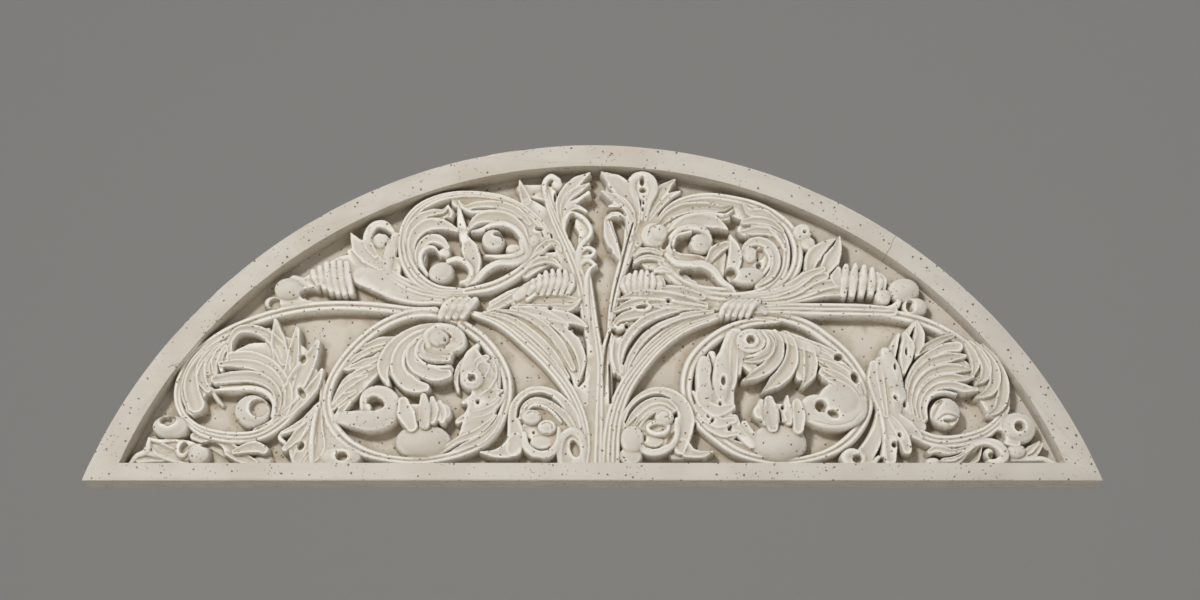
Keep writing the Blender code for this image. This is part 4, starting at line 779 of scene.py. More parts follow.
class RightHalf(Half):
    """The right half, round a stem that stands a little right of the middle."""

    def corner_leaf(self) -> None:
        """The right half's corner leaf."""
        self.rib([700, 27, 684, 30, 668, 36, 645, 36, 622, 36, 608, 32], [2, 4, 4, 4, 4, 3],
            [18, 26, 30, 30, 28, 24])
        self.leaf([638, 40, 650, 50, 662, 60], [3, 6, 2], [28, 32, 36], 2)
        self.leaf([642, 38, 658, 47, 667, 58], [3, 6, 2], [28, 30, 34], 2)
        self.dome(628, 47, 14, 11, 40, fullness=0.9)
        self.dome(632, 82, 26, 22, 50, lean=-20, fullness=0.8)
        self.leaf([612, 92, 611, 78, 616, 64, 628, 58], [6, 8, 9, 6], [36, 38, 40, 40], 1)
        self.hole(632, 82, 7, 7, 22)
        self.hole(604, 68, 7, 9, 8, lean=20)
        self.rib([515, 27, 528, 28, 543, 33, 556, 48, 570, 58, 590, 60, 606, 50, 610, 38, 600, 31, 588, 32],
            [2, 4, 4, 4, 4, 5, 7, 7, 6, 3], [24, 28, 30, 34, 38, 40, 42, 42, 40, 34])
        self.leaf([538, 30, 552, 33, 568, 42, 576, 54], [2, 8, 10, 3], [22, 22, 24, 30], 7)
        self.dome(588, 44, 7, 8, 34)
        self.hole(592, 41, 5, 4, 14)
        self.leaf([500, 46, 508, 50, 530, 46, 550, 50, 566, 57], [4, 6, 4, 3, 2], [34, 38, 36, 34, 34], 2)
        self.leaf([520, 34, 534, 35, 548, 42, 556, 50], [3, 4, 3, 2], [34, 36, 36, 34], 2)
        self.dome(506, 32, 11, 8, 22)

    def corner_scroll(self) -> None:
        """The right half's corner scroll."""
        self.reed([240, 262, 280, 258, 330, 258, 380, 259, 430, 257, 470, 250, 500, 241, 530, 226, 560, 204,
             588, 176, 605, 148, 616, 125, 613, 105], [5, 8, 8, 8, 8, 8, 8, 8, 8, 8, 8, 7, 5],
            [30, 32, 34, 34, 34, 34, 34, 34, 36, 36, 36, 34, 32])
        self.slab([472, 112, 482, 148, 508, 168, 546, 168], [8, 15, 20, 18], 35)
        self.slab([570, 195, 586, 165, 592, 130, 598, 108], [10, 20, 20, 12], 33)
        self.reed([616, 112, 604, 92, 585, 76, 560, 66, 530, 61, 505, 63, 480, 74, 456, 92, 438, 112],
            [5, 8, 9, 10, 10, 10, 9, 8, 6], [34, 36, 36, 36, 36, 36, 36, 36, 34], 3)
        self.leaf([582, 206, 602, 178, 611, 150, 609, 126, 600, 108, 588, 101], [3, 5, 7, 9, 9, 3],
            [38, 41, 43, 44, 44, 43], 3)
        self.leaf([572, 208, 590, 184, 599, 160, 595, 142, 583, 131, 571, 127], [3, 6, 8, 9, 8, 2],
            [39, 42, 45, 46, 46, 44], 2.5)
        self.leaf([563, 210, 579, 190, 586, 170, 582, 155, 571, 147], [3, 6, 8, 8, 2], [40, 43, 46, 47, 45],
            2.5)
        self.leaf([555, 212, 566, 192, 570, 175, 565, 158], [3, 6, 7, 2], [40, 44, 46, 45], 2)
        self.slab([458, 122, 468, 98, 488, 84], [7, 9, 8], 33)
        self.leaf([538, 220, 521, 214, 502, 205, 484, 191], [3, 6, 6, 2], [42, 41, 39, 37], 3.5)
        self.leaf([544, 202, 527, 201, 506, 192, 486, 177, 473, 156, 467, 130], [8, 7, 6.5, 6, 4.5, 3],
            [47, 46, 44, 42, 39, 36], 1.6)
        self.leaf([554, 188, 538, 187, 516, 183, 493, 172, 477, 152, 471, 128, 474, 104],
            [3, 8, 7.5, 6.5, 5, 4, 3], [47, 46, 45, 44, 42, 38, 36], 2.6)
        self.leaf([562, 168, 547, 169, 525, 169, 500, 161, 483, 143, 477, 122, 480, 100],
            [2, 8, 7.5, 6.5, 5, 4, 3], [47, 47, 46, 45, 42, 39, 36], 2.6)
        self.leaf([566, 157, 553, 154, 532, 156, 508, 151, 490, 135, 483, 115, 486, 96],
            [2, 5.5, 6, 5.5, 5, 4, 3], [47, 47, 47, 46, 43, 40, 37], 2.4)
        self.leaf([571, 137, 553, 139, 533, 144, 511, 141, 495, 128, 489, 110, 492, 92],
            [2.5, 7, 6, 5.5, 4.5, 4, 3], [48, 48, 48, 47, 45, 42, 38], 2.2)
        self.rib([540, 131, 520, 134, 503, 128, 495, 112, 496, 94], [2, 2.5, 2.5, 2.5, 2],
            [45, 47, 47, 45, 42])
        self.dome(524, 104, 22, 22, 50, fullness=0.75)
        self.trench([503, 96, 507, 111, 517, 121], [2, 5.5, 2.5], 28)
        self.groove([511, 92, 524, 100, 542, 96], 1.6, 5)
        self.trench([522, 91, 534, 89, 543, 96], [1.5, 4, 1.5], 34)
        self.leaf([484, 240, 488, 222, 486, 205, 483, 190], [3, 8, 9, 2], [46, 44, 40, 36], 1.5)
        self.leaf([480, 238, 470, 224, 462, 205], [3, 5, 3], [44, 40, 36], 1)
        self.leaf([466, 222, 470, 205, 467, 186, 464, 165], [4, 11, 10, 3], [46, 44, 42, 38], 1)
        self.leaf([456, 221, 450, 205, 446, 188], [3, 6, 6], [44, 42, 38], 1)
        self.slab([440, 110, 436, 140, 436, 170], [14, 18, 14], [36, 38, 38])
        self.rib([452, 96, 452, 120, 450, 145, 444, 172, 436, 194], [6, 11, 13, 14, 8], [38, 42, 46, 48, 48])
        self.leaf([432, 100, 422, 130, 416, 155, 418, 178], [5, 6, 7, 5], [38, 40, 42, 40], 1)
        self.leaf([436, 100, 432, 130, 428, 158, 426, 184], [4, 5, 6, 4], [40, 42, 44, 42], 1)
        self.dome(454, 132, 12, 17, 46, lean=20, fullness=0.6)
        for eye in (
            (450, 172, 1.6, 4, 24), (450, 126, 2, 3, 24, 40), (468, 196, 1.6, 5, 24), (464, 117, 2, 4, 18),
        ):
            self.hole(*eye)

    def low_spray(self) -> None:
        """The right half's low spray."""
        self.leaf([426, 114, 424, 88, 417, 62, 406, 44], [2, 6, 11, 13], [34, 34, 34, 36], 1)
        self.rib([424, 38, 412, 27, 396, 24, 381, 28, 374, 38, 382, 45, 394, 43], [3, 5, 6, 7, 7, 6, 5],
            [34, 38, 40, 42, 42, 42, 40])
        self.dome(392, 36, 17, 13, 40, fullness=0.8)
        self.hole(392, 35, 6.5, 6, 14)
        self.leaf([433, 112, 438, 82, 441, 58, 441, 34], [3, 8, 11, 9], [36, 40, 42, 38], 1)
        self.leaf([440, 100, 454, 78, 463, 60, 466, 48], [4, 8, 9, 7], [38, 42, 44, 40], 1)
        self.leaf([438, 112, 453, 94, 470, 79, 484, 68], [4, 9, 11, 6], [36, 40, 42, 38], 1)
        self.rib([427, 110, 431, 85, 433, 62, 430, 40], [2, 3, 3, 3], [38, 42, 42, 38])
        self.hole(447, 56, 3.5, 4, 14)
        self.hole(455, 70, 2.2, 3, 16, lean=20)

    def large_scroll(self) -> None:
        """The right half's large scroll."""
        self.reed([243, 252, 280, 250, 320, 238, 350, 218, 378, 193, 398, 165, 409, 140, 410, 115, 402, 92,
             388, 72, 368, 55, 345, 43, 315, 35, 280, 31, 245, 36, 213, 47, 188, 64, 165, 84, 150, 106,
             141, 130, 140, 152, 147, 178, 162, 200, 185, 220, 213, 235, 245, 243, 280, 242],
            [5, 7, 8, 9, 9, 9, 8, 8, 8, 8, 8, 7, 6, 5, 6, 7, 8, 8, 8, 8, 9, 10, 9, 9, 8, 6, 1],
            [30, 32, 34, 34, 34, 34, 34, 34, 34, 34, 34, 34, 32, 32, 34, 36, 36, 36, 34, 34, 34, 34, 34, 34,
             34, 34, 32])
        self.slab([285, 218, 325, 200, 365, 172], [6, 14, 12], [34, 34, 32])
        self.slab([238, 224, 270, 222, 300, 211, 334, 198], [6, 7, 7, 6], 40)
        self.slab([300, 208, 311, 182, 309, 158], [6, 8, 6], 36)
        self.slab([222, 205, 228, 185, 240, 168], [7, 11, 8], 40)
        self.leaf([285, 226, 320, 211, 352, 198, 366, 190], [3, 5, 6, 4], [38, 38, 36, 34], 1)
        self.leaf([300, 215, 335, 200, 368, 182], [3, 6, 5], [40, 38, 34], 1)
        self.leaf([325, 200, 352, 187, 380, 168, 392, 156], [3, 6, 7, 4], [40, 38, 38, 34], 1.5)
        self.leaf([336, 185, 360, 174, 383, 158, 396, 142, 402, 124], [3, 6, 7, 6, 3], [40, 40, 40, 38, 34],
            1.5)
        self.slab([345, 165, 370, 150, 388, 130, 396, 110], [8, 16, 16, 10], [36, 38, 40, 38])
        self.leaf([342, 170, 364, 160, 384, 144, 398, 124], [3, 6, 7, 5], [42, 42, 42, 40], 1)
        self.leaf([345, 155, 365, 148, 384, 134, 396, 116], [3, 6, 7, 5], [44, 44, 44, 42], 1)
        self.dome(366, 120, 32, 30, 47, lean=20, fullness=0.3)
        self.rib([399, 122, 396, 104, 382, 95, 358, 92, 336, 95, 322, 104, 320, 116, 330, 123, 345, 122],
            [10, 11, 13, 14, 14, 13, 12, 9, 6], [42, 46, 48, 48, 48, 48, 46, 44, 40])
        self.groove([318, 92, 335, 88, 360, 84, 384, 90, 398, 104], 1.2, 1.6)
        self.hole(339, 113, 7.5, 8.5, 14, lean=20)
        self.dome(350, 110, 4, 4, 42)
        self.hole(357, 101, 8, 5, 24, lean=-25)
        self.hole(367, 188, 6, 5, 10)
        self.hole(391, 157, 5, 8, 8, lean=15)
        self.dome(276, 60, 42, 29, 48, fullness=0.8)
        self.slab([226, 88, 232, 74, 240, 62], [5, 8, 8], 36)
        self.slab([250, 104, 306, 101], [12, 15], 45)
        self.leaf([250, 120, 246, 104, 257, 87], [4, 6, 4], [46, 46, 46], 1)
        self.leaf([262, 121, 265, 101, 267, 80], [7, 13, 8], [50, 54, 52], 2)
        self.leaf([289, 127, 288, 107, 291, 88], [2, 8, 5], [50, 52, 50], 1)
        self.leaf([303, 117, 306, 98, 305, 78], [7, 10, 8], [48, 52, 52], 1.5)
        self.hole(247, 90, 5, 2.5, 26)
        self.hole(282, 110, 2, 3, 24)
        self.hole(279, 96, 1.2, 9, 30, lean=8)
        self.slab([214, 220, 213, 195, 216, 165], [12, 14, 6], [40, 42, 42])
        self.leaf([309, 217, 321, 202, 325, 180, 323, 162, 313, 143], [4, 8, 11, 10, 2],
            [38, 41, 42, 42, 42], 3.5)
        self.leaf([289, 224, 297, 205, 296, 182, 286, 163, 270, 148, 254, 135], [4, 8, 11, 12, 10, 2],
            [40, 43, 45, 46, 46, 46], 3)
        self.leaf([272, 226, 279, 208, 275, 188, 262, 172, 244, 161, 224, 151], [4, 7, 10, 10, 8, 2],
            [42, 46, 48, 49, 49, 48], 3)
        self.leaf([256, 226, 268, 208, 264, 192, 250, 183, 228, 180], [2, 4, 5, 5, 2], [44, 49, 50, 50, 46],
            2)
        self.rib([254, 226, 262, 210, 258, 197, 246, 190, 229, 186], [2, 3, 3, 3, 1.5], [46, 51, 52, 52, 50])
        self.dome(236, 211, 22, 19, 52, fullness=0.45)
        self.rib([250, 222, 256, 209, 250, 198, 236, 194], [1.5, 2.5, 2.5, 2], [46, 51, 51, 48])
        self.groove([244, 222, 250, 209, 243, 200, 228, 199], 1.4, 3)
        self.hole(236, 212, 6, 6, 32)

    def large_scroll_leaves(self) -> None:
        """The right half's large scroll leaves."""
        self.slab([178, 192, 174, 160, 178, 125, 190, 95, 206, 72], [6, 16, 25, 22, 8], [38, 40, 40, 40, 36])
        self.slab([206, 220, 199, 190, 197, 150, 197, 118], [7, 11, 14, 14], 41)
        self.dome(168, 150, 14, 40, 45, lean=4, fullness=0.45)
        self.dome(193, 158, 14, 40, 47, lean=-2, fullness=0.45)
        self.leaf([213, 226, 211, 200, 210, 175, 209, 150, 203, 128], [4, 6, 7, 6, 3], [40, 43, 45, 45, 40],
            1.5)
        self.groove([174, 192, 179, 174, 177, 156, 179, 138], [1, 2, 2, 1], [10, 15, 14, 5])
        self.leaf([150, 136, 164, 118, 184, 106, 208, 112], [2, 8, 10, 5], [38, 43, 45, 43], 1)
        self.leaf([150, 118, 166, 99, 188, 88, 210, 92], [2, 8, 9, 5], [38, 42, 44, 42], 1)
        self.leaf([157, 98, 176, 82, 198, 74, 216, 74], [3, 7, 9, 4], [38, 42, 42, 40], 1)
        self.leaf([186, 68, 205, 60, 222, 54, 245, 44, 270, 37], [3, 6, 6, 4, 2], [36, 34, 32, 32, 30], 3)
        self.slab([211, 96, 218, 76, 236, 56], [6, 7, 6], 38)
        for eye in (
            (195, 151, 3, 6, 28), (190, 117, 2, 3, 26), (172, 98, 2.5, 1.5, 28, -30),
            (178, 92, 1.8, 3.5, 26, -30), (204, 81, 2.2, 4.5, 24, -30), (161, 86, 1.2, 1.2, 28),
        ):
            self.hole(*eye)

    def foot_scroll(self) -> None:
        """The right half's foot scroll."""
        self.slab([120, 42, 146, 40, 168, 38], [6, 5, 2], [24, 24, 22])
        self.leaf([178, 46, 162, 41, 146, 43, 134, 54], [2, 6, 9, 12], [38, 38, 38, 36], 2.5)
        self.leaf([130, 50, 136, 70, 140, 92, 134, 114, 118, 131, 98, 137, 78, 132, 60, 117, 49, 98, 44, 80,
             44, 60], [9, 11, 12, 11, 9, 6, 5.5, 5, 5, 4, 3], [36, 37, 38, 38, 38, 40, 40, 40, 38, 36, 32],
            1.6)
        self.slab([95, 108, 74, 96, 60, 82], [15, 15, 8], [28, 28, 28])
        self.trench([49, 90, 60, 110, 78, 124, 97, 129, 114, 126], [1, 2.6, 3, 2.6, 0.8], 20)
        self.leaf([124, 110, 110, 120, 92, 121, 75, 113, 61, 99, 50, 84], [4, 5, 5.5, 5.5, 5, 2],
            [40, 44, 45, 44, 43, 38], 1.8)
        self.leaf([120, 106, 106, 113, 90, 111, 75, 101, 63, 84], [3, 4.5, 5, 5, 2], [42, 46, 46, 45, 38],
            1.8)
        self.rib([118, 104, 104, 108, 90, 104, 78, 94, 70, 82], [2, 2.5, 2.5, 2.5, 1.5],
            [42, 44, 44, 42, 36])
        self.dome(107, 97, 14, 12.5, 50, fullness=0.8)
        self.groove([96, 100, 102, 105, 111, 104, 114, 98, 108, 95], 1.4, 4)
        self.slab([84, 70, 108, 66], [12, 14], 30)
        self.slab([58, 88, 76, 86, 120, 82], [8, 9, 8], 34)
        self.rib([126, 94, 125, 75, 118, 57, 104, 47, 89, 44, 76, 49, 69, 60, 70, 70],
            [4, 5, 6, 6, 6, 6, 5, 4], [38, 40, 42, 42, 42, 42, 40, 38])
        self.dome(90, 61, 15, 9, 37, fullness=0.6)
        self.rib([82, 83, 84, 76, 96, 71, 110, 75, 114, 84], [3, 3.5, 3.5, 3.5, 2], [42, 45, 46, 45, 42])
        self.rib([82, 83, 90, 88, 102, 88, 112, 84], [3, 3, 3, 2], [42, 44, 44, 42])
        self.hole(92, 81, 7, 2.6, 30, lean=8)
        self.hole(116, 66, 3, 10, 24, lean=-30)
        self.dome(59, 64, 17, 20, 45, fullness=0.5)
        self.dome(57, 40, 17, 14, 38, fullness=0.5)
        self.hole(78, 66, 1.8, 4, 20)
        self.hole(152, 74, 2, 13, 6, lean=-6)
        self.hole(148, 33, 20, 2.5, 8)

    def stem_bundle(self) -> None:
        """The right half's stem bundle."""
        self.slab([46, 180, 50, 160], [10, 8], 33)
        self.slab([60, 262, 46, 235, 44, 195, 56, 160], [8, 18, 16, 8], [34, 34, 34, 34])
        self.slab([160, 252, 110, 238, 74, 205, 54, 168], [7, 14, 16, 8], [30, 31, 32, 32])
        self.slab([15, 40, 15, 100, 18, 160, 24, 215, 30, 240], [12, 13, 13, 9, 4], 31)
        self.reed([27, 27, 28, 60, 33, 98, 47, 138, 66, 168, 98, 205, 140, 235, 192, 253],
            [14, 13, 12, 11, 10, 9, 8, 5], [36, 38, 38, 38, 36, 36, 34, 32], 4)
        self.rib([172, 254, 128, 241, 90, 214, 66, 186, 52, 160], [1.5, 2.5, 2.5, 2.5, 1.5],
            [34, 36, 37, 37, 36])
        self.leaf([180, 258, 132, 249, 94, 231, 68, 205, 52, 172, 50, 158], [3, 5, 6, 6, 5, 2],
            [36, 41, 44, 44, 40, 36], 1.2)
        self.leaf([150, 266, 106, 255, 74, 240, 52, 216, 42, 190, 45, 164], [3, 6, 7, 7, 6, 2],
            [34, 42, 45, 45, 43, 38], 1.2)
        self.trench([130, 253, 96, 241, 70, 222, 54, 200, 46, 178], [0.6, 1.8, 2.2, 2.2, 1],
            [22, 16, 14, 16, 22])
        self.leaf([44, 234, 39, 222, 36, 205, 35, 185, 40, 162], [4, 6, 7, 6, 3], [44, 44, 43, 41, 36], 2)
        self.rib([30, 228, 28, 205, 28, 185, 33, 165], [2, 2.5, 2.5, 2], [38, 41, 41, 36])
        self.leaf([120, 264, 88, 259, 60, 252, 40, 245, 31, 234], [4, 8, 9, 7, 3], [36, 42, 44, 44, 40], 2)
        self.rib([31, 236, 40, 231, 52, 238], [2.5, 3, 3], [42, 44, 44])
        self.hole(51, 235, 2.5, 2.5, 12)
        self.trench([48, 227, 38, 222, 30, 229], [1.5, 4, 1.5], 14)
        self.trench([27, 226, 22, 206, 19, 175, 18, 130], [1, 2, 2.2, 1], [14, 16, 20, 26])
        self.trench([25.5, 178, 27, 150, 27, 120], [0.8, 2, 1.6], 14)
        self.leaf([150, 266, 110, 270, 80, 268, 52, 264], [4, 7, 6, 2], [36, 41, 42, 38], 3)

    def tie(self) -> None:
        """The right half's tie."""
        self.slab([200, 262, 250, 262], [9, 7], 36)
        for rib in range(5):
            self.rib([192 + 10 * rib, 251, 198 + 10 * rib, 263, 212 + 9 * rib, 272], [4, 5, 4.5],
                [43, 50, 44])
        self.rib([258, 258, 246, 267, 230, 273], [5, 6, 4], [38, 42, 40])

    def shoulder(self) -> None:
        """The right half's shoulder."""
        self.dome(467, 291, 24, 18, 46)
        self.dome(483, 266, 19, 14, 40)
        self.hole(476, 266, 6, 8, 14)
        self.dome(488, 266, 10, 9, 40)
        self.rib([432, 262, 447, 263, 458, 271, 459, 280], [3, 5, 5, 3], [32, 36, 38, 36])
        self.dome(435, 280, 12, 12, 43, fullness=0.8)
        self.slab([372, 306, 428, 302], [16, 12], 36)
        self.leaf([369, 322, 365, 309, 368, 296], [4, 9, 4], [40, 43, 40], 1)
        self.rib([381, 327, 378, 306, 376, 283], [4, 7, 5], [40, 47, 41])
        self.rib([395, 328, 391, 306, 389, 283], [4, 7.5, 5], [40, 48, 42])
        self.rib([408, 326, 406, 306, 403, 284], [4, 7, 5], [40, 48, 42])
        self.rib([420, 322, 419, 304, 417, 285], [4, 7, 5], [40, 47, 42])
        self.rib([427, 316, 431, 303, 430, 290], [3, 6, 4], [38, 45, 40])
        self.rib([432, 316, 438, 306, 438, 293], [2, 3.5, 2.5], [36, 42, 38])
        self.slab([332, 326, 350, 340, 360, 350], [8, 16, 10], 30)
        self.leaf([326, 324, 332, 342, 347, 357, 364, 368], [8, 12, 8, 2], [38, 41, 41, 42], 2)
        self.leaf([350, 322, 360, 338, 368, 354, 371, 370], [9, 13, 8, 2], [42, 44, 45, 46], 2)
        self.dome(316, 379, 14, 13, 44, fullness=0.6)
        self.dome(324, 362, 11, 10, 42, fullness=0.6)
        self.hole(319, 379, 2.2, 2.2, 26)

    def strands(self) -> None:
        """The right half's strands."""
        self.slab([225, 276, 270, 281, 315, 292, 356, 300], [5, 9, 17, 15], [32, 33, 34, 34])
        self.reed([250, 262, 290, 262, 340, 261, 400, 260, 450, 258], [6, 9, 10, 10, 8],
            [36, 38, 38, 38, 36], 3)
        self.leaf([372, 287, 345, 286, 312, 279, 270, 273, 235, 271, 205, 269], [6, 7, 7, 6, 5, 4],
            [38, 39, 38, 36, 34, 32], 2)
        self.leaf([369, 301, 345, 296, 318, 286, 285, 277, 240, 275, 205, 272], [7, 8, 8, 7, 5, 4],
            [41, 42, 40, 37, 35, 32], 2)
        self.leaf([349, 311, 328, 303, 302, 288, 268, 280, 232, 278, 205, 276], [6, 8, 8, 6, 5, 4],
            [43, 44, 42, 38, 36, 33], 2)
        self.leaf([346, 321, 326, 313, 304, 298, 272, 285, 235, 281, 205, 280], [4, 8, 8, 6, 5, 4],
            [45, 46, 43, 39, 36, 34], 2)
        self.rib([316, 316, 304, 304, 285, 292, 255, 286], [2.5, 4, 4, 3], [40, 42, 40, 36])

    def oval_scroll(self) -> None:
        """The right half's oval scroll."""
        self.slab([104, 395, 140, 418, 190, 424, 235, 410, 268, 385, 282, 350, 276, 318, 250, 298],
            [10, 14, 14, 14, 14, 12, 10, 6], 31)
        self.slab([226, 384, 250, 380, 272, 362], [8, 20, 12], 33)
        self.slab([150, 300, 120, 325, 108, 355, 112, 378], [8, 12, 12, 10], 30)
        self.slab([60, 352, 88, 340, 112, 322, 150, 300], [8, 18, 14, 8], 28)
        self.reed([190, 272, 235, 278, 272, 288, 296, 308, 308, 335, 308, 362, 296, 388, 272, 408, 240, 424,
             205, 433, 168, 436, 138, 430, 114, 416, 98, 396], [6, 8, 8, 8, 8, 8, 8, 8, 7, 6, 6, 6, 6, 4],
            [32, 34, 36, 36, 36, 36, 36, 36, 36, 34, 34, 34, 34, 32])
        self.reed([110, 330, 125, 310, 150, 293, 185, 282, 225, 281, 262, 292, 285, 315, 292, 345, 288, 372,
             274, 394, 252, 408], [5, 7, 8, 8, 8, 7, 6, 6, 6, 5, 3],
            [34, 36, 36, 36, 36, 36, 36, 36, 36, 34, 32])
        self.slab([255, 392, 275, 372, 280, 345], [14, 14, 8], [32, 32, 30])
        self.leaf([280, 396, 256, 408, 238, 409, 228, 421], [3, 7, 7, 2], [38, 42, 44, 46], 2)
        self.leaf([286, 382, 268, 393, 246, 396, 228, 394], [3, 6, 6.5, 5], [38, 44, 46, 45], 2.5)
        self.leaf([288, 364, 272, 377, 248, 380, 226, 377], [3, 6, 7, 5], [38, 44, 46, 44], 2.5)
        self.rib([290, 352, 280, 368, 262, 387, 240, 388], [3, 3, 3, 2], [38, 42, 44, 42])
        self.slab([262, 325, 262, 345, 246, 356], [12, 14, 10], 32)
        self.slab([214, 338, 236, 327, 256, 326], [9, 11, 9], 32)
        self.leaf([250, 299, 268, 312, 276, 335, 268, 355, 248, 364, 231, 357, 226, 344],
            [3, 6, 7, 7, 7, 6, 3], [38, 42, 44, 46, 46, 46, 42], 1.5)
        self.rib([256, 314, 266, 330, 264, 346, 250, 354], [2, 3, 3, 2], [38, 42, 43, 42])
        self.dome(237, 344, 11, 12, 46, fullness=0.8)
        self.hole(252, 345, 6, 8, 24, lean=-20)
        self.hole(250, 329, 4, 5, 14, lean=-10)
        self.dome(232, 312, 25, 13, 45, lean=4, fullness=0.8)
        self.slab([188, 318, 190, 345], [10, 12], 30)
        self.slab([186, 401, 204, 402], [6, 4], 36)
        self.leaf([210, 320, 214, 340, 213, 356, 207, 373], [10, 11, 8, 2], [40, 44, 44, 44], 1)
        self.leaf([174, 334, 185, 350, 201, 360], [5, 9, 6], [38, 42, 40], 3)
        self.leaf([98, 388, 114, 404, 138, 415, 170, 418, 196, 415, 209, 420], [4, 8, 9, 8, 7, 2],
            [36, 40, 42, 42, 42, 42], 3.5)
        self.rib([114, 380, 130, 396, 150, 405, 175, 407, 200, 405, 211, 412], [2, 3, 3, 3, 3, 2],
            [40, 42, 44, 44, 44, 42])
        self.leaf([106, 372, 120, 388, 145, 397, 170, 396, 190, 391, 203, 383], [3, 6, 9, 11, 10, 2],
            [36, 40, 44, 44, 44, 42], 1.5)
        self.rib([118, 345, 114, 358, 120, 373, 136, 384, 156, 385, 172, 378, 178, 366],
            [4, 4, 4, 4, 5, 5, 3], [38, 42, 46, 46, 46, 46, 42])
        self.rib([124, 352, 122, 362, 130, 374, 148, 379], [2, 2.5, 2.5, 2], [38, 42, 42, 42])
        self.dome(163, 362, 17, 15, 48, fullness=0.9)
        self.slab([120, 346, 150, 343, 176, 340], [4, 6, 4], 24)
        self.trench([146, 367, 134, 365, 126, 356], [3, 8, 3], 16)
        self.leaf([116, 350, 135, 341, 160, 339, 182, 331], [4, 6, 6, 3], [36, 36, 34, 32], 2.5)
        self.rib([112, 345, 124, 333, 145, 328, 165, 329, 182, 320, 194, 304, 210, 294],
            [4, 5, 6, 6, 6, 5, 3], [38, 42, 44, 44, 42, 40, 36])
        self.hole(150, 315, 19, 7, 10, lean=-12)
        self.hole(208, 315, 8, 8, 12)
        self.reed([210, 288, 160, 292, 128, 306, 108, 326, 98, 346, 92, 362], [6, 8, 8, 7, 6, 4],
            [34, 36, 36, 36, 36, 34])
        self.dome(92, 375, 19, 19, 44, fullness=0.5)
        self.dome(100, 378, 13, 13, 48, fullness=0.7)
        self.hole(110, 362, 4, 8, 16, lean=-30)
        self.hole(94, 386, 2, 2, 36)
        self.groove([84, 372, 88, 386, 100, 392], 1.5, 4)
        self.slab([70, 340, 95, 335], [8, 9], 28)
        self.leaf([104, 346, 88, 351, 74, 350, 64, 344], [3, 4, 4, 3], [38, 42, 42, 40], 1.5)
        self.leaf([106, 336, 88, 340, 72, 338, 64, 332], [3, 4, 4, 3], [38, 42, 42, 40], 1.5)
        self.leaf([92, 319, 104, 322, 117, 319], [3, 5, 3], [36, 40, 38], 1)
        self.hole(68, 325, 8, 4, 8)
        self.hole(86, 320, 5, 3.5, 8)
        self.hole(108, 304, 10, 4, 8, lean=-30)
        self.leaf([88, 412, 98, 434, 112, 449, 124, 459], [3, 8, 9, 2], [34, 38, 42, 44], 3.5)
        self.leaf([86, 400, 102, 421, 118, 435, 132, 441], [3, 5, 6, 2], [34, 38, 42, 42])

    def inner_bud(self) -> None:
        """The right half's inner bud."""
        self.slab([40, 274, 90, 274, 140, 272, 190, 268], [5, 12, 10, 7], 30)
        self.slab([56, 302, 98, 301], [13, 12], 36)
        self.slab([100, 296, 130, 292, 160, 284], [4, 7, 5], 32)
        self.rib([47, 306, 46, 298, 51, 287], [3, 5, 3], [38, 43, 38])
        self.rib([56, 313, 54, 301, 57, 286], [3.5, 5, 3.5], [40, 46, 40])
        self.rib([65, 317, 63, 302, 64, 285], [3.5, 5.2, 3.8], [42, 47, 41])
        self.rib([74, 318, 72, 302, 72, 285], [3.5, 5.2, 3.8], [42, 48, 41])
        self.rib([82, 317, 81, 302, 80, 285], [3.5, 5.2, 3.8], [42, 47, 41])
        self.rib([90, 314, 91, 301, 89, 286], [3.5, 5.2, 3.8], [40, 46, 40])
        self.rib([98, 309, 101, 299, 98, 288], [3, 5, 3.5], [38, 44, 38])
        self.leaf([170, 268, 125, 277, 90, 282, 62, 282, 39, 276], [4, 7, 8, 7, 2], [36, 40, 42, 43, 41],
            2.5)
        self.leaf([165, 280, 130, 289, 104, 291], [5, 8, 3], [37, 42, 42], 2)
        self.leaf([170, 264, 120, 267, 86, 270, 56, 268, 34, 258], [4, 7, 8, 8, 3], [36, 41, 43, 43, 41],
            2.5)
        self.rib([60, 262, 75, 258, 86, 262, 82, 269], [2.5, 3, 3.5, 2.5], [42, 44, 45, 44])
        self.hole(74, 264, 8, 3, 24, lean=8)
        self.hole(114, 274, 2.6, 3, 18)
        self.hole(46, 285, 2, 2, 22)

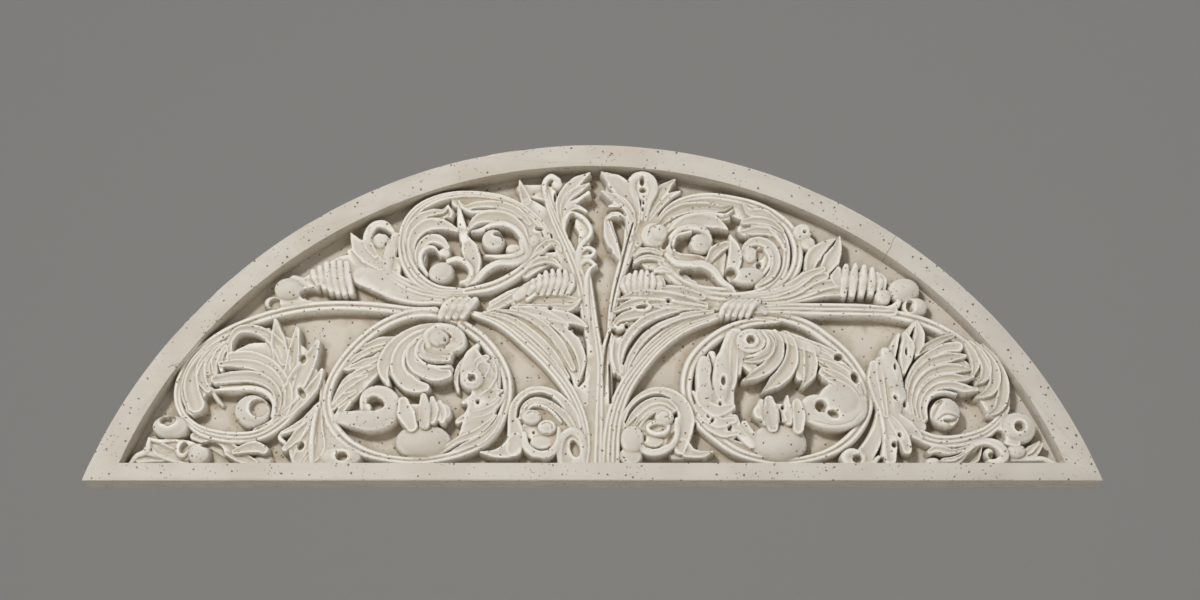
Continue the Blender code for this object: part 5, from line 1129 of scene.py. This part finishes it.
    def plume(self) -> None:
        """The right half's plume."""
        self.slab([34, 446, 52, 420, 60, 392, 56, 360, 44, 325, 34, 285, 30, 250], [14, 18, 12, 9, 8, 7, 5],
            32)
        self.slab([96, 436, 88, 412, 78, 388, 66, 365], [14, 12, 12, 8], 32)
        self.slab([24, 395, 28, 372, 36, 350], [6, 9, 7], 32)
        self.reed([72, 408, 64, 388, 55, 362, 45, 330, 36, 298, 29, 262, 25, 232], [6, 7, 7, 7, 6, 5, 3],
            [36, 36, 36, 36, 36, 35, 33])
        self.rib([80, 400, 86, 425, 93, 446, 88, 460, 75, 466, 62, 460, 60, 446, 67, 425, 72, 400],
            [3, 4, 6, 7, 7, 7, 6, 4, 3], [36, 40, 44, 46, 46, 46, 44, 40, 36])
        self.dome(77, 446, 14, 17, 42, fullness=0.2)
        self.rib([78, 436, 77, 420, 74, 400], [4, 3.5, 2.5], [40, 40, 38])
        for eye in (
            (75, 457, 3, 6, 22), (76, 443, 4.5, 3.5, 22), (77, 425, 1.5, 3, 24), (76, 414, 1.2, 2.5, 26),
        ):
            self.hole(*eye)
        self.leaf([68, 396, 62, 420, 50, 440, 33, 456, 14, 470], [4, 10, 15, 13, 2], [38, 42, 45, 46, 47], 2)
        self.leaf([62, 388, 56, 408, 42, 425, 26, 434, 14, 441], [4, 8, 9, 7, 2], [40, 43, 45, 46, 46], 2)
        self.leaf([60, 376, 58, 396, 50, 411, 37, 419, 25, 418], [3, 5, 5, 5, 2], [40, 43, 44, 44, 43], 1.5)
        self.leaf([57, 368, 56, 388, 48, 401, 34, 407, 21, 400], [3, 5, 6, 5, 3], [40, 42, 43, 43, 42], 1.5)
        self.leaf([21, 396, 25, 374, 33, 354, 41, 338], [4, 8, 8, 3], [38, 41, 42, 40], 1.5)
        self.trench([30, 413, 42, 412, 50, 405], [2, 2.2, 1], 18)
        self.hole(42, 390, 7, 11, 8, lean=-20)
        self.hole(23, 350, 6, 4, 10)
        self.trench([61, 392, 53, 365, 43, 325, 34, 290, 28, 258], [0.6, 1.2, 1.2, 1.1, 0.6], 26)

@dataclass
class Block:
    """The block's outline and sunk field, in millimetres. Its outer sizes come from the frame.

    Attributes:
        low, high: Corners of the block in the frame, in metres.
        border: Width of the raised border at the crown.
        flare: Further width at its two ends.
        rail: Height of the plain rail under the field.
        recess: Depth of the field below the border's face.
        arris: Width of the worn edges.
        facet: Length of the outline's facets.
    """

    low: Vector
    high: Vector
    border: float = 32.0
    flare: float = 12.0
    rail: float = 26.0
    recess: float = 55.0
    arris: float = 1.3
    facet: float = 5.0

    @property
    def half_width(self) -> float:
        """Half the block's width."""
        return (self.high.x - self.low.x) / 2 / MM

    @property
    def rise(self) -> float:
        """Height of the crown over the bottom edge."""
        return (self.high.z - self.low.z) / MM

    @property
    def thickness(self) -> float:
        """Thickness from back to face."""
        return (self.high.y - self.low.y) / MM

    def arch_height(self, x: np.ndarray, inset: object = 0.0) -> np.ndarray:
        """Height of the arch at x, for the circle drawn inset by that much."""
        radius = (self.half_width**2 + self.rise**2) / (2 * self.rise)
        return self.rise - radius + np.sqrt(np.maximum((radius - inset) ** 2 - np.square(x), 0.0))

    def field_height(self, x: np.ndarray) -> np.ndarray:
        """Height of the field's arched edge at x. The border widens a little towards its two ends."""
        reach = np.minimum(np.abs(x) / (self.half_width - self.flare), 1.0)
        return self.arch_height(x, self.border + self.flare * reach**9)

    @property
    def half_field(self) -> float:
        """Distance from the middle to the corner where the arched edge meets the rail."""
        x = np.linspace(self.half_width / 2, self.half_width, 4000)
        return float(x[np.argmax(self.field_height(x) <= self.rail)])

    def outline(self, half: float, field_edge: bool, foot: float) -> list[Place]:
        """Draws an arched outline over a straight foot.

        Args:
            half: Half its width.
            field_edge: Whether it is the field's edge and not the block's.
            foot: Height of the foot.

        Returns:
            Its points in order, no further apart than a facet.
        """
        turns = int(math.pi * half / self.facet)
        x = -half * np.cos(np.linspace(0.0, np.pi, turns + 1))[1:-1]
        arch = self.field_height(x) if field_edge else self.arch_height(x)
        steps = np.linspace(half, -half, int(2 * half / self.facet) + 1)
        return list(zip(x, arch)) + [(float(a), foot) for a in steps]

    def prism(self, name: str, outline: Sequence[Place], back: float, front: float) -> bpy.types.Object:
        """Makes a closed block of an outline.

        Args:
            name: Name of the object.
            outline: Its points.
            back, front: How far the block's back and face stand in front of the stone's back.

        Returns:
            The object.
        """
        bm = bmesh.new()
        ring = [bm.verts.new((x * MM, -back * MM, z * MM + self.low.z)) for x, z in outline]
        bm.faces.new(ring)
        grown = bmesh.ops.extrude_face_region(bm, geom=list(bm.faces))["geom"]
        moved = [v for v in grown if isinstance(v, bmesh.types.BMVert)]
        bmesh.ops.translate(bm, verts=moved, vec=(0.0, (back - front) * MM, 0.0))
        return as_object(name, bm)


def as_object(name: str, bm: bmesh.types.BMesh) -> bpy.types.Object:
    """Turns a bmesh into an object with its faces outward.

    Args:
        name: Name of the object and its mesh.
        bm: The bmesh, which is freed.

    Returns:
        The object, at the origin.
    """
    bmesh.ops.recalc_face_normals(bm, faces=bm.faces)
    mesh = bpy.data.meshes.new(name)
    bm.to_mesh(mesh)
    bm.free()
    obj = bpy.data.objects.new(name, mesh)
    bpy.context.scene.collection.objects.link(obj)
    return obj


@dataclass
class Carving:
    """The carved bed that fills the field.

    Attributes:
        block: The block that it stands in.
        pitch: Distance between the raster's points, in millimetres.
        facets: Triangles left after thinning.
        lap: How far the bed runs into the border.
        soft: Blur that wears the edges, in millimetres.
        wander: Unevenness of the hand-cut faces, in millimetres.
        wander_size: Blur that spreads that unevenness, in millimetres.
        seed: Seed of its random draws.
        dip: The most that the ground lies under its level, in millimetres.
        shy: The least that the carving stays behind the border's face, in millimetres.
    """

    block: Block
    pitch: float = 0.95
    facets: int = 182000
    lap: float = 6.0
    soft: float = 0.35
    wander: float = 0.35
    wander_size: float = 12.0
    seed: int = 7
    dip: float = 0.8
    shy: float = 0.5
    relief: Relief = field(init=False)

    def __post_init__(self) -> None:
        """Lays out the raster over the field."""
        margin = 20.0
        reach = self.block.half_field + margin
        self.relief = Relief(-reach, reach, 0.0, self.block.rise, self.pitch)

    def carve(self) -> None:
        """Cuts both halves, then wears the edges and roughens the faces."""
        for half in (LeftHalf(self.relief, -1), RightHalf(self.relief, 1)):
            half.carve()
        chance = np.random.default_rng(self.seed)
        height = softened(self.relief.height, self.soft / self.pitch)
        rough = softened(chance.standard_normal(height.shape), self.wander_size / self.pitch)
        height += rough / rough.std() * self.wander
        self.relief.height = np.clip(height, -self.dip, self.block.recess - self.shy)

    def bed(self) -> bpy.types.Object:
        """Makes the bed as a closed block: a grid raised by the relief, with a skirt and a flat back."""
        block, lap = self.block, self.lap
        across = int(2 * block.half_field / self.pitch)
        up = int((block.field_height(0.0) - block.rail) / self.pitch)
        bm = bmesh.new()
        bmesh.ops.create_grid(bm, x_segments=across, y_segments=up, size=1.0)
        share = np.array([v.co[:2] for v in bm.verts])
        x = share[:, 0] * (block.half_field + lap)
        foot = block.rail - lap
        z = foot + (share[:, 1] + 1) / 2 * np.maximum(block.field_height(x) + lap - foot, lap)
        backing = block.thickness - block.recess
        y = -(backing + self.relief.at(self.relief.height, x, z))
        for vert, place in zip(bm.verts, np.column_stack([x, y, z]) * MM + (0.0, 0.0, block.low.z)):
            vert.co = place
        grid, row_length = bm.verts[:], across + 1
        top_left = row_length * up
        rim = grid[:across] + grid[across:top_left:row_length]
        rim += grid[top_left + 1:][::-1] + grid[top_left:0:-row_length]
        back = [bm.verts.new((v.co.x, -backing * MM / 2, v.co.z)) for v in rim]
        for i, vert in enumerate(rim):
            bm.faces.new((vert, rim[i - 1], back[i - 1], back[i]))
        bm.faces.new(back)
        bed = as_object("carved_bed", bm)
        thin = bed.modifiers.new("thin", "DECIMATE")
        thin.ratio = self.facets / (2 * len(bed.data.polygons))
        return bed


@dataclass
class Panel:
    """The finished panel: block, sunk field and carving in one closed mesh.

    Attributes:
        block: The block.
        carving: The carving.
        chip: Deepest chip on the outer edges, in millimetres.
        chip_scales: Scales of the two noises that place the chips, per metre.
        chip_start: Value of the noise over which the stone has lost a chip.
        rounding: Angle over which the border's edges are worn round, in degrees.
        crisp: Angle over which an edge is shaded as sharp, in degrees.
        hollows: Each blur in millimetres, the depth under it that counts in full, and its share of the tan
            grime and painted shade.
        rims: The same for the height over the blurs, which shows where the rims are painted pale: partly
            wear, partly a painted highlight.
        shade_fade: Where the painted shade and grime in the hollows start to ease off towards the right, lit
            side, and over what width, in millimetres.
    """

    block: Block
    carving: Carving
    chip: float = 2.2
    chip_scales: tuple = (70.0, 210.0)
    chip_start: float = 0.22
    rounding: float = 50.0
    crisp: float = 58.0
    hollows: tuple = ((1.8, 1.5, 0.45), (3.0, 5.0, 0.4), (9.0, 14.0, 0.35))
    rims: tuple = ((1.8, 0.75, 0.6), (3.0, 3.0, 0.4))
    shade_fade: tuple = (330.0, 220.0)

    def build(self) -> bpy.types.Object:
        """Cuts the field, adds the carving and joins them in one mesh."""
        block = self.block
        backing = block.thickness - block.recess
        edge = block.outline(block.half_width, False, 0.0)
        body = block.prism("carved_lunette", edge, 0.0, block.thickness)
        edge = block.outline(block.half_field, True, block.rail)
        cutter = block.prism("field", edge, backing * 0.8, block.thickness + backing)
        bed = self.carving.bed()
        self.boolean(body, cutter, "DIFFERENCE")
        worn = body.modifiers.new("worn edges", "BEVEL")
        worn.width, worn.segments, worn.limit_method = block.arris * MM, 2, "ANGLE"
        worn.angle_limit = math.radians(self.rounding)
        self.boolean(body, bed, "UNION")
        graph = bpy.context.evaluated_depsgraph_get()
        mesh = bpy.data.meshes.new_from_object(body.evaluated_get(graph))
        body.modifiers.clear()
        body.data = mesh
        for helper in (cutter, bed):
            bpy.data.objects.remove(helper, do_unlink=True)
        self.wear(mesh)
        mesh.shade_smooth()
        mesh.set_sharp_from_angle(angle=math.radians(self.crisp))
        self.record_wear_and_shade(mesh)
        return body

    @staticmethod
    def boolean(body: bpy.types.Object, other: bpy.types.Object, operation: str) -> None:
        """Adds a Boolean. Both meshes are closed, and this solver is quick on a mesh as fine as the bed."""
        modifier = body.modifiers.new(other.name, "BOOLEAN")
        modifier.operation, modifier.solver, modifier.object = operation, "MANIFOLD", other

    def wear(self, mesh: bpy.types.Mesh) -> None:
        """Chips the arrises of the border: moves their points back into the stone, never outward."""
        block = self.block
        face = block.low.y
        for vert in mesh.vertices:
            co = vert.co
            if co.y > face + 2 * block.arris * MM or co.y < face - MM:
                continue
            x, z = co.x / MM, (co.z - block.low.z) / MM
            arch = float(block.arch_height(x))
            inner = float(block.field_height(x))
            edge = min(abs(z), abs(arch - z), abs(inner - z) if z > block.rail else abs(z - block.rail))
            if edge > 2 * block.arris:
                continue
            bite = sum(noise.noise(co * scale) * 0.5 for scale in self.chip_scales)
            deep = max(bite - self.chip_start, 0.0) * 3.2 + max(bite, 0.0) * 0.35
            co.y = min(co.y + min(deep, 1.0) * self.chip * MM, block.high.y)

    def stands_off(self, sign: int, blurs: tuple) -> np.ndarray:
        """Measures how far the carving stands off its own blurred form.

        Args:
            sign: 1 where it stands over the blurs and -1 where it lies under them.
            blurs: Each blur, the distance from it that counts in full, and its share.

        Returns:
            The shares added up, at each point of the raster.
        """
        relief = self.carving.relief
        total = np.zeros_like(relief.height)
        for blur, full, share in blurs:
            off = relief.height - softened(relief.height, blur / relief.pitch)
            total += np.clip(sign * off / full, 0, 1) * share
        return total

    def record_wear_and_shade(self, mesh: bpy.types.Mesh) -> None:
        """Stores how hollow, how proud and how far turned down or to the right the stone is at each point:
        masks for grime and painted shade in the hollows, for wear and a painted highlight on the rims, and
        for painted shade on faces turned down or to the right.
        """
        relief = self.carving.relief
        count = len(mesh.vertices)
        co, normal = np.empty(count * 3), np.empty(count * 3)
        mesh.vertices.foreach_get("co", co)
        mesh.vertices.foreach_get("normal", normal)
        co, normal = co.reshape(-1, 3), normal.reshape(-1, 3)
        x, z = co[:, 0] / MM, (co[:, 2] - self.block.low.z) / MM
        sunk = (co[:, 1] > self.block.low.y + 3 * MM) & (z > self.block.rail - 1)
        sunk &= z < self.block.field_height(x) + 1
        # Painted shade: the tan in the hollows is eased off to half on the right side, where the key lamp
        # lights the border's inner side.
        start, width = self.shade_fade
        shade_eased_right = 1 - 0.5 * np.clip((x - start) / width, 0, 1)
        worn = {
            # Hollows: partly settled grime, partly painted shade.
            "hollow": relief.at(self.stands_off(-1, self.hollows), x, z) * sunk * shade_eased_right,
            # Proud rims: partly wear, partly a painted highlight.
            "proud": relief.at(self.stands_off(1, self.rims), x, z) * sunk,
            # Painted shade on faces turned down and on faces turned to the right, away from the key lamp.
            "under": -normal[:, 2] * 0.75 + normal[:, 0] * 0.5,
        }
        for name, values in worn.items():
            layer = mesh.attributes.new(name, "FLOAT", "POINT")
            layer.data.foreach_set("value", np.clip(values, 0, 1).astype(np.float32))


@dataclass(frozen=True)
class Patches:
    """A noise that shows as patches.

    Attributes:
        scale, detail: The noise.
        low, high: Its values where a patch begins and where it is full.
        share: How far a full patch counts.
    """

    scale: float
    detail: float
    low: float
    high: float
    share: float


@dataclass
class Shader:
    """Builds a node tree with short calls."""

    material: bpy.types.Material

    def __post_init__(self) -> None:
        """Clears the tree."""
        self.material.use_nodes = True
        self.tree = self.material.node_tree
        self.tree.nodes.clear()

    def node(self, kind: str, settings: Optional[dict] = None, **inputs: object) -> bpy.types.Node:
        """Adds a node.

        Args:
            kind: The node's type.
            settings: Values of its properties.
            **inputs: Values or links for its inputs, by name with _ for a space, or in0, in1 by place.

        Returns:
            The node.
        """
        made = self.tree.nodes.new(kind)
        for name, value in (settings or {}).items():
            setattr(made, name, value)
        for name, value in inputs.items():
            numbered = name[:2] == "in" and name[2:].isdigit()
            socket = made.inputs[int(name[2:]) if numbered else name.replace("_", " ")]
            if isinstance(value, bpy.types.NodeSocket):
                self.tree.links.new(value, socket)
            else:
                socket.default_value = value
        return made

    def maths(self, operation: str, a: object, b: object = 0.0, clamp: bool = False) -> bpy.types.NodeSocket:
        """Adds a Math node and returns its output."""
        settings = {"operation": operation, "use_clamp": clamp}
        return self.node("ShaderNodeMath", settings, in0=a, in1=b).outputs[0]

    def mix(self, share: object, a: object, b: object) -> bpy.types.NodeSocket:
        """Mixes two colours and returns the result."""
        made = self.node("ShaderNodeMix", {"data_type": "RGBA"}, in0=share, in6=a, in7=b)
        return made.outputs[2]

    def step(self, value: object, low: float, high: float) -> bpy.types.NodeSocket:
        """Maps a value smoothly from 0 at low to 1 at high."""
        made = self.node("ShaderNodeMapRange", {"interpolation_type": "SMOOTHSTEP"}, Value=value)
        made.inputs["From Min"].default_value = low
        made.inputs["From Max"].default_value = high
        return made.outputs[0]

    def noise(self, where: object, scale: float, detail: float = 2.0) -> bpy.types.NodeSocket:
        """Adds a noise texture and returns its value."""
        return self.node("ShaderNodeTexNoise", Vector=where, Scale=scale, Detail=detail).outputs["Fac"]

    def patches(self, where: object, kind: Patches) -> bpy.types.NodeSocket:
        """Adds patches and returns how far they count."""
        full = self.step(self.noise(where, kind.scale, kind.detail), kind.low, kind.high)
        return self.maths("MULTIPLY", full, kind.share)

    def attribute(self, name: str) -> bpy.types.NodeSocket:
        """Reads one of the mesh's own values."""
        return self.node("ShaderNodeAttribute", {"attribute_name": name}).outputs["Fac"]


@dataclass(frozen=True)
class Limestone:
    """Pale limestone: fine grained and mottled, with brown pits, tan hollows and undersides that are partly
    grime and partly painted shade, and pale rims that are partly wear and partly a painted highlight.

    Attributes:
        pale, warm: The two tones of the mottling.
        tan: Colour laid in the hollows, on the undersides and on faces turned to the right, away from the
            key lamp: partly settled grime, partly painted shade.
        worn: Colour of the proud rims: partly wear, partly a painted highlight.
        pit: Colour in the pits.
        roughness: Roughness of the dressed face.
        mottle, grain: Patches of the warm tone, broad and fine.
        beds, bedding: The stone's faint beds, and the stretch that lays them level.
        tan_patches: Patches where the tan of the grime and painted shade is laid thicker.
        pitted: Patches that have small pits.
        large_pits, small_pits: Size of the cells that hold a pit each, in metres, and a pit's radius in it.
        cracks: Hairline cracks, each as a place in metres, its lean in degrees and its length.
        crack_edge: Half a crack's width where it is full and where it ends, in metres.
        crack_wander: How far a crack wanders, in metres.
        roughened: Each noise of the bump, as its scale, detail and share.
    """

    pale: tuple = (0.69, 0.65, 0.592, 1.0)
    warm: tuple = (0.585, 0.53, 0.445, 1.0)
    tan: tuple = (0.44, 0.375, 0.275, 1.0)
    worn: tuple = (0.94, 0.915, 0.86, 1.0)
    pit: tuple = (0.17, 0.12, 0.07, 1.0)
    roughness: float = 0.86
    mottle: Patches = Patches(11.0, 5.0, 0.42, 0.66, 0.45)
    grain: Patches = Patches(700.0, 3.0, 0.50, 0.72, 0.16)
    beds: Patches = Patches(2.2, 4.0, 0.46, 0.70, 0.22)
    bedding: tuple = (4.0, 4.0, 26.0)
    tan_patches: Patches = Patches(38.0, 4.0, 0.40, 0.66, 0.35)
    pitted: Patches = Patches(24.0, 2.0, 0.46, 0.58, 0.75)
    large_pits: tuple = (0.0115, 0.17)
    small_pits: tuple = (0.0062, 0.19)
    cracks: tuple = ((0.447, 0.155, 62.0, 0.040), (-0.620, -0.028, 20.0, 0.022))
    crack_edge: tuple = (0.0003, 0.0009)
    crack_wander: float = 0.006
    roughened: tuple = ((420.0, 4.0, 0.35), (90.0, 3.0, 0.5))

    def pits(self, s: Shader, where: object, size: float, radius: float) -> bpy.types.NodeSocket:
        """Scatters pits.

        Args:
            s: The shader.
            where: The object's coordinates.
            size: Size of the cells that hold a pit each, in metres.
            radius: Radius of the pits as a share of a cell.

        Returns:
            1 in a pit and 0 outside.
        """
        rough = s.node("ShaderNodeTexNoise", Vector=where, Scale=1.6 / size, Detail=1.0).outputs["Color"]
        bent = s.node("ShaderNodeVectorMath", {"operation": "MULTIPLY_ADD"}, in0=rough, in2=where)
        bent.inputs[1].default_value = (size * 0.35,) * 3
        cells = s.node("ShaderNodeTexVoronoi", Vector=bent.outputs[0], Scale=1 / size)
        outside = s.step(cells.outputs["Distance"], radius * 0.55, radius)
        return s.maths("SUBTRACT", 1.0, outside, clamp=True)

    def crack(
        self, s: Shader, where: object, x: float, z: float, lean: float, length: float
    ) -> bpy.types.NodeSocket:
        """Draws one hairline crack.

        Args:
            s: The shader.
            where: The object's coordinates.
            x, z: Its middle, in metres.
            lean: Its lean from level, in degrees.
            length: Its length, in metres.

        Returns:
            1 in the crack and 0 outside.
        """
        turned = s.node("ShaderNodeMapping", {"vector_type": "TEXTURE"}, Vector=where, Location=(x, 0.0, z),
                        Rotation=(0.0, -math.radians(lean), 0.0))
        parts = s.node("ShaderNodeSeparateXYZ", Vector=turned.outputs[0])
        swing = s.maths("SUBTRACT", s.noise(where, 160.0), 0.5)
        wander = s.maths("MULTIPLY", swing, self.crack_wander)
        off = s.maths("ABSOLUTE", s.maths("ADD", parts.outputs["Z"], wander))
        thin = s.maths("SUBTRACT", 1.0, s.step(off, *self.crack_edge))
        along = s.maths("ABSOLUTE", parts.outputs["X"])
        ends = s.maths("SUBTRACT", 1.0, s.step(along, length * 0.35, length * 0.5))
        return s.maths("MULTIPLY", thin, ends)

    def make(self) -> bpy.types.Material:
        """Builds the material."""
        s = Shader(bpy.data.materials.new("pale_limestone"))
        where = s.node("ShaderNodeTexCoord").outputs["Object"]
        layers = s.node("ShaderNodeMapping", Vector=where, Scale=self.bedding).outputs[0]
        colour = s.mix(s.patches(where, self.mottle), self.pale, self.warm)
        colour = s.mix(s.patches(layers, self.beds), colour, self.warm)
        # Painted shade, partly grime: the tan goes into the hollows and onto faces turned down or to the
        # right, in patches.
        turned_down = s.maths("MULTIPLY", s.attribute("under"), 0.75)
        hollow = s.maths("ADD", s.attribute("hollow"), turned_down, clamp=True)
        tan_strength = s.maths("ADD", s.patches(where, self.tan_patches), 0.60)
        colour = s.mix(s.maths("MULTIPLY", hollow, tan_strength), colour, self.tan)
        # Painted highlight, partly wear: the proud rims are lightened.
        colour = s.mix(s.maths("MULTIPLY", s.attribute("proud"), 0.92), colour, self.worn)
        colour = s.mix(s.patches(where, self.grain), colour, self.warm)
        small = s.maths("MULTIPLY", self.pits(s, where, *self.small_pits), s.patches(where, self.pitted))
        holes = s.maths("MAXIMUM", self.pits(s, where, *self.large_pits), small)
        for crack in self.cracks:
            holes = s.maths("MAXIMUM", holes, s.maths("MULTIPLY", self.crack(s, where, *crack), 0.55))
        colour = s.mix(s.maths("MULTIPLY", holes, 0.9), colour, self.pit)
        grit, tooling = (
            s.maths("MULTIPLY", s.noise(where, scale, detail), share)
            for scale, detail, share in self.roughened
        )
        height = s.maths("SUBTRACT", s.maths("ADD", grit, tooling), s.maths("MULTIPLY", holes, 1.2))
        bump = s.node("ShaderNodeBump", Height=height, Strength=0.55, Distance=0.0012)
        shader = s.node("ShaderNodeBsdfPrincipled", Base_Color=colour, Roughness=self.roughness,
                        Normal=bump.outputs[0])
        shader.inputs["Specular IOR Level"].default_value = 0.3
        s.node("ShaderNodeOutputMaterial", Surface=shader.outputs[0])
        return s.material


@dataclass(frozen=True)
class Studio:
    """Camera, lights and the plain pale room.

    Attributes:
        stand: The camera's place, in metres: an eye height below the panel and straight in front of it.
        look_up: How far it looks up, in degrees.
        lens: Its focal length on a 36 mm sensor.
        aim: The place that the lamps face.
        floor: Height of the floor.
        near, reach: How far the floor runs before the panel and behind it.
        wide, wall: Half the room's width and the backdrop's height.
        bend: Radius of the bend between floor and backdrop.
    """

    stand: tuple = (0.0115, -4.0143, -0.7635)
    look_up: float = 11.973
    lens: float = 81.0
    aim: tuple = (0.0, 0.0, 0.05)
    floor: float = -2.35
    near: float = -12.0
    reach: float = 9.5
    wide: float = 14.0
    wall: float = 9.0
    bend: float = 1.5

    def camera(self) -> None:
        """Places the camera."""
        data = bpy.data.cameras.new("camera")
        data.lens, data.sensor_width = self.lens, 36.0
        obj = bpy.data.objects.new("camera", data)
        obj.location = self.stand
        obj.rotation_euler = (math.radians(90 + self.look_up), 0.0, 0.0)
        bpy.context.scene.collection.objects.link(obj)
        bpy.context.scene.camera = obj

    def lamp(self, name: str, place: tuple, size: float, power: float, colour: tuple) -> None:
        """Hangs a square lamp that faces the panel.

        Args:
            name: Its name.
            place: Its place, in metres.
            size: Its side, in metres.
            power: Its power, in watts.
            colour: Its colour.
        """
        data = bpy.data.lights.new(name, "AREA")
        data.size, data.energy, data.color = size, power, colour
        obj = bpy.data.objects.new(name, data)
        obj.location = place
        facing = Vector(self.aim) - Vector(place)
        obj.rotation_euler = facing.to_track_quat("-Z", "Y").to_euler()
        bpy.context.scene.collection.objects.link(obj)

    def room(self) -> None:
        """Lays the floor and curves it up into the backdrop."""
        bm = bmesh.new()
        line = bm.edges.new([bm.verts.new((x, self.near, self.floor)) for x in (-self.wide, self.wide)])
        y0, z0, facets = self.reach - self.bend, self.floor + self.bend, 8
        turns = np.linspace(0.0, math.pi / 2, facets + 1)
        run = [(y0 + self.bend * math.sin(a), z0 - self.bend * math.cos(a)) for a in turns]
        run.append((self.reach, self.floor + self.wall))
        place = self.near, self.floor
        for y, z in run:
            made = bmesh.ops.extrude_edge_only(bm, edges=[line])["geom"]
            moved = [v for v in made if isinstance(v, bmesh.types.BMVert)]
            bmesh.ops.translate(bm, verts=moved, vec=(0.0, y - place[0], z - place[1]))
            line = next(e for e in made if isinstance(e, bmesh.types.BMEdge))
            place = y, z
        room = as_object("pale_floor", bm)
        plaster = bpy.data.materials.new("pale_plaster")
        plaster.use_nodes = True
        shader = plaster.node_tree.nodes["Principled BSDF"]
        shader.inputs["Base Color"].default_value = (0.72, 0.71, 0.69, 1.0)
        shader.inputs["Roughness"].default_value = 0.95
        room.data.materials.append(plaster)

    def light(self) -> None:
        """Lights the panel: a key from above on the left, a broad fill and a warm bounce from below."""
        self.lamp("key", (-1.15, -4.4, 1.15), 0.45, 124.0, (1.0, 0.985, 0.955))
        self.lamp("fill", (3.2, -4.0, 0.6), 3.0, 12.0, (0.97, 0.98, 1.0))
        self.lamp("bounce", (0.0, -2.6, -2.0), 2.4, 11.0, (1.0, 0.86, 0.68))
        self.lamp("rear", (1.5, 4.5, 3.0), 2.0, 120.0, (1.0, 0.99, 0.97))
        world = bpy.data.worlds.new("pale")
        world.use_nodes = True
        sky = world.node_tree.nodes["Background"].inputs
        sky["Color"].default_value = (0.86, 0.86, 0.86, 1.0)
        sky["Strength"].default_value = 0.26
        bpy.context.scene.world = world
        bpy.context.scene.view_settings.view_transform = "Standard"


def main() -> None:
    """Builds the panel, its finish and the studio."""
    logging.basicConfig(level=logging.INFO, format="%(message)s")
    log = logging.getLogger("lunette")
    studio = Studio()
    studio.camera()
    block = Block(*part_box("lunette_panel"))
    carving = Carving(block, pitch=0.95)
    carving.carve()
    panel = Panel(block, carving).build()
    panel.data.materials.clear()
    panel.data.materials.append(Limestone().make())
    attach(panel, "root")
    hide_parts("lunette_panel")
    log.info("carved_lunette: %d triangles", sum(len(p.vertices) - 2 for p in panel.data.polygons))
    studio.room()
    studio.light()


if __name__ == "__main__":
    main()
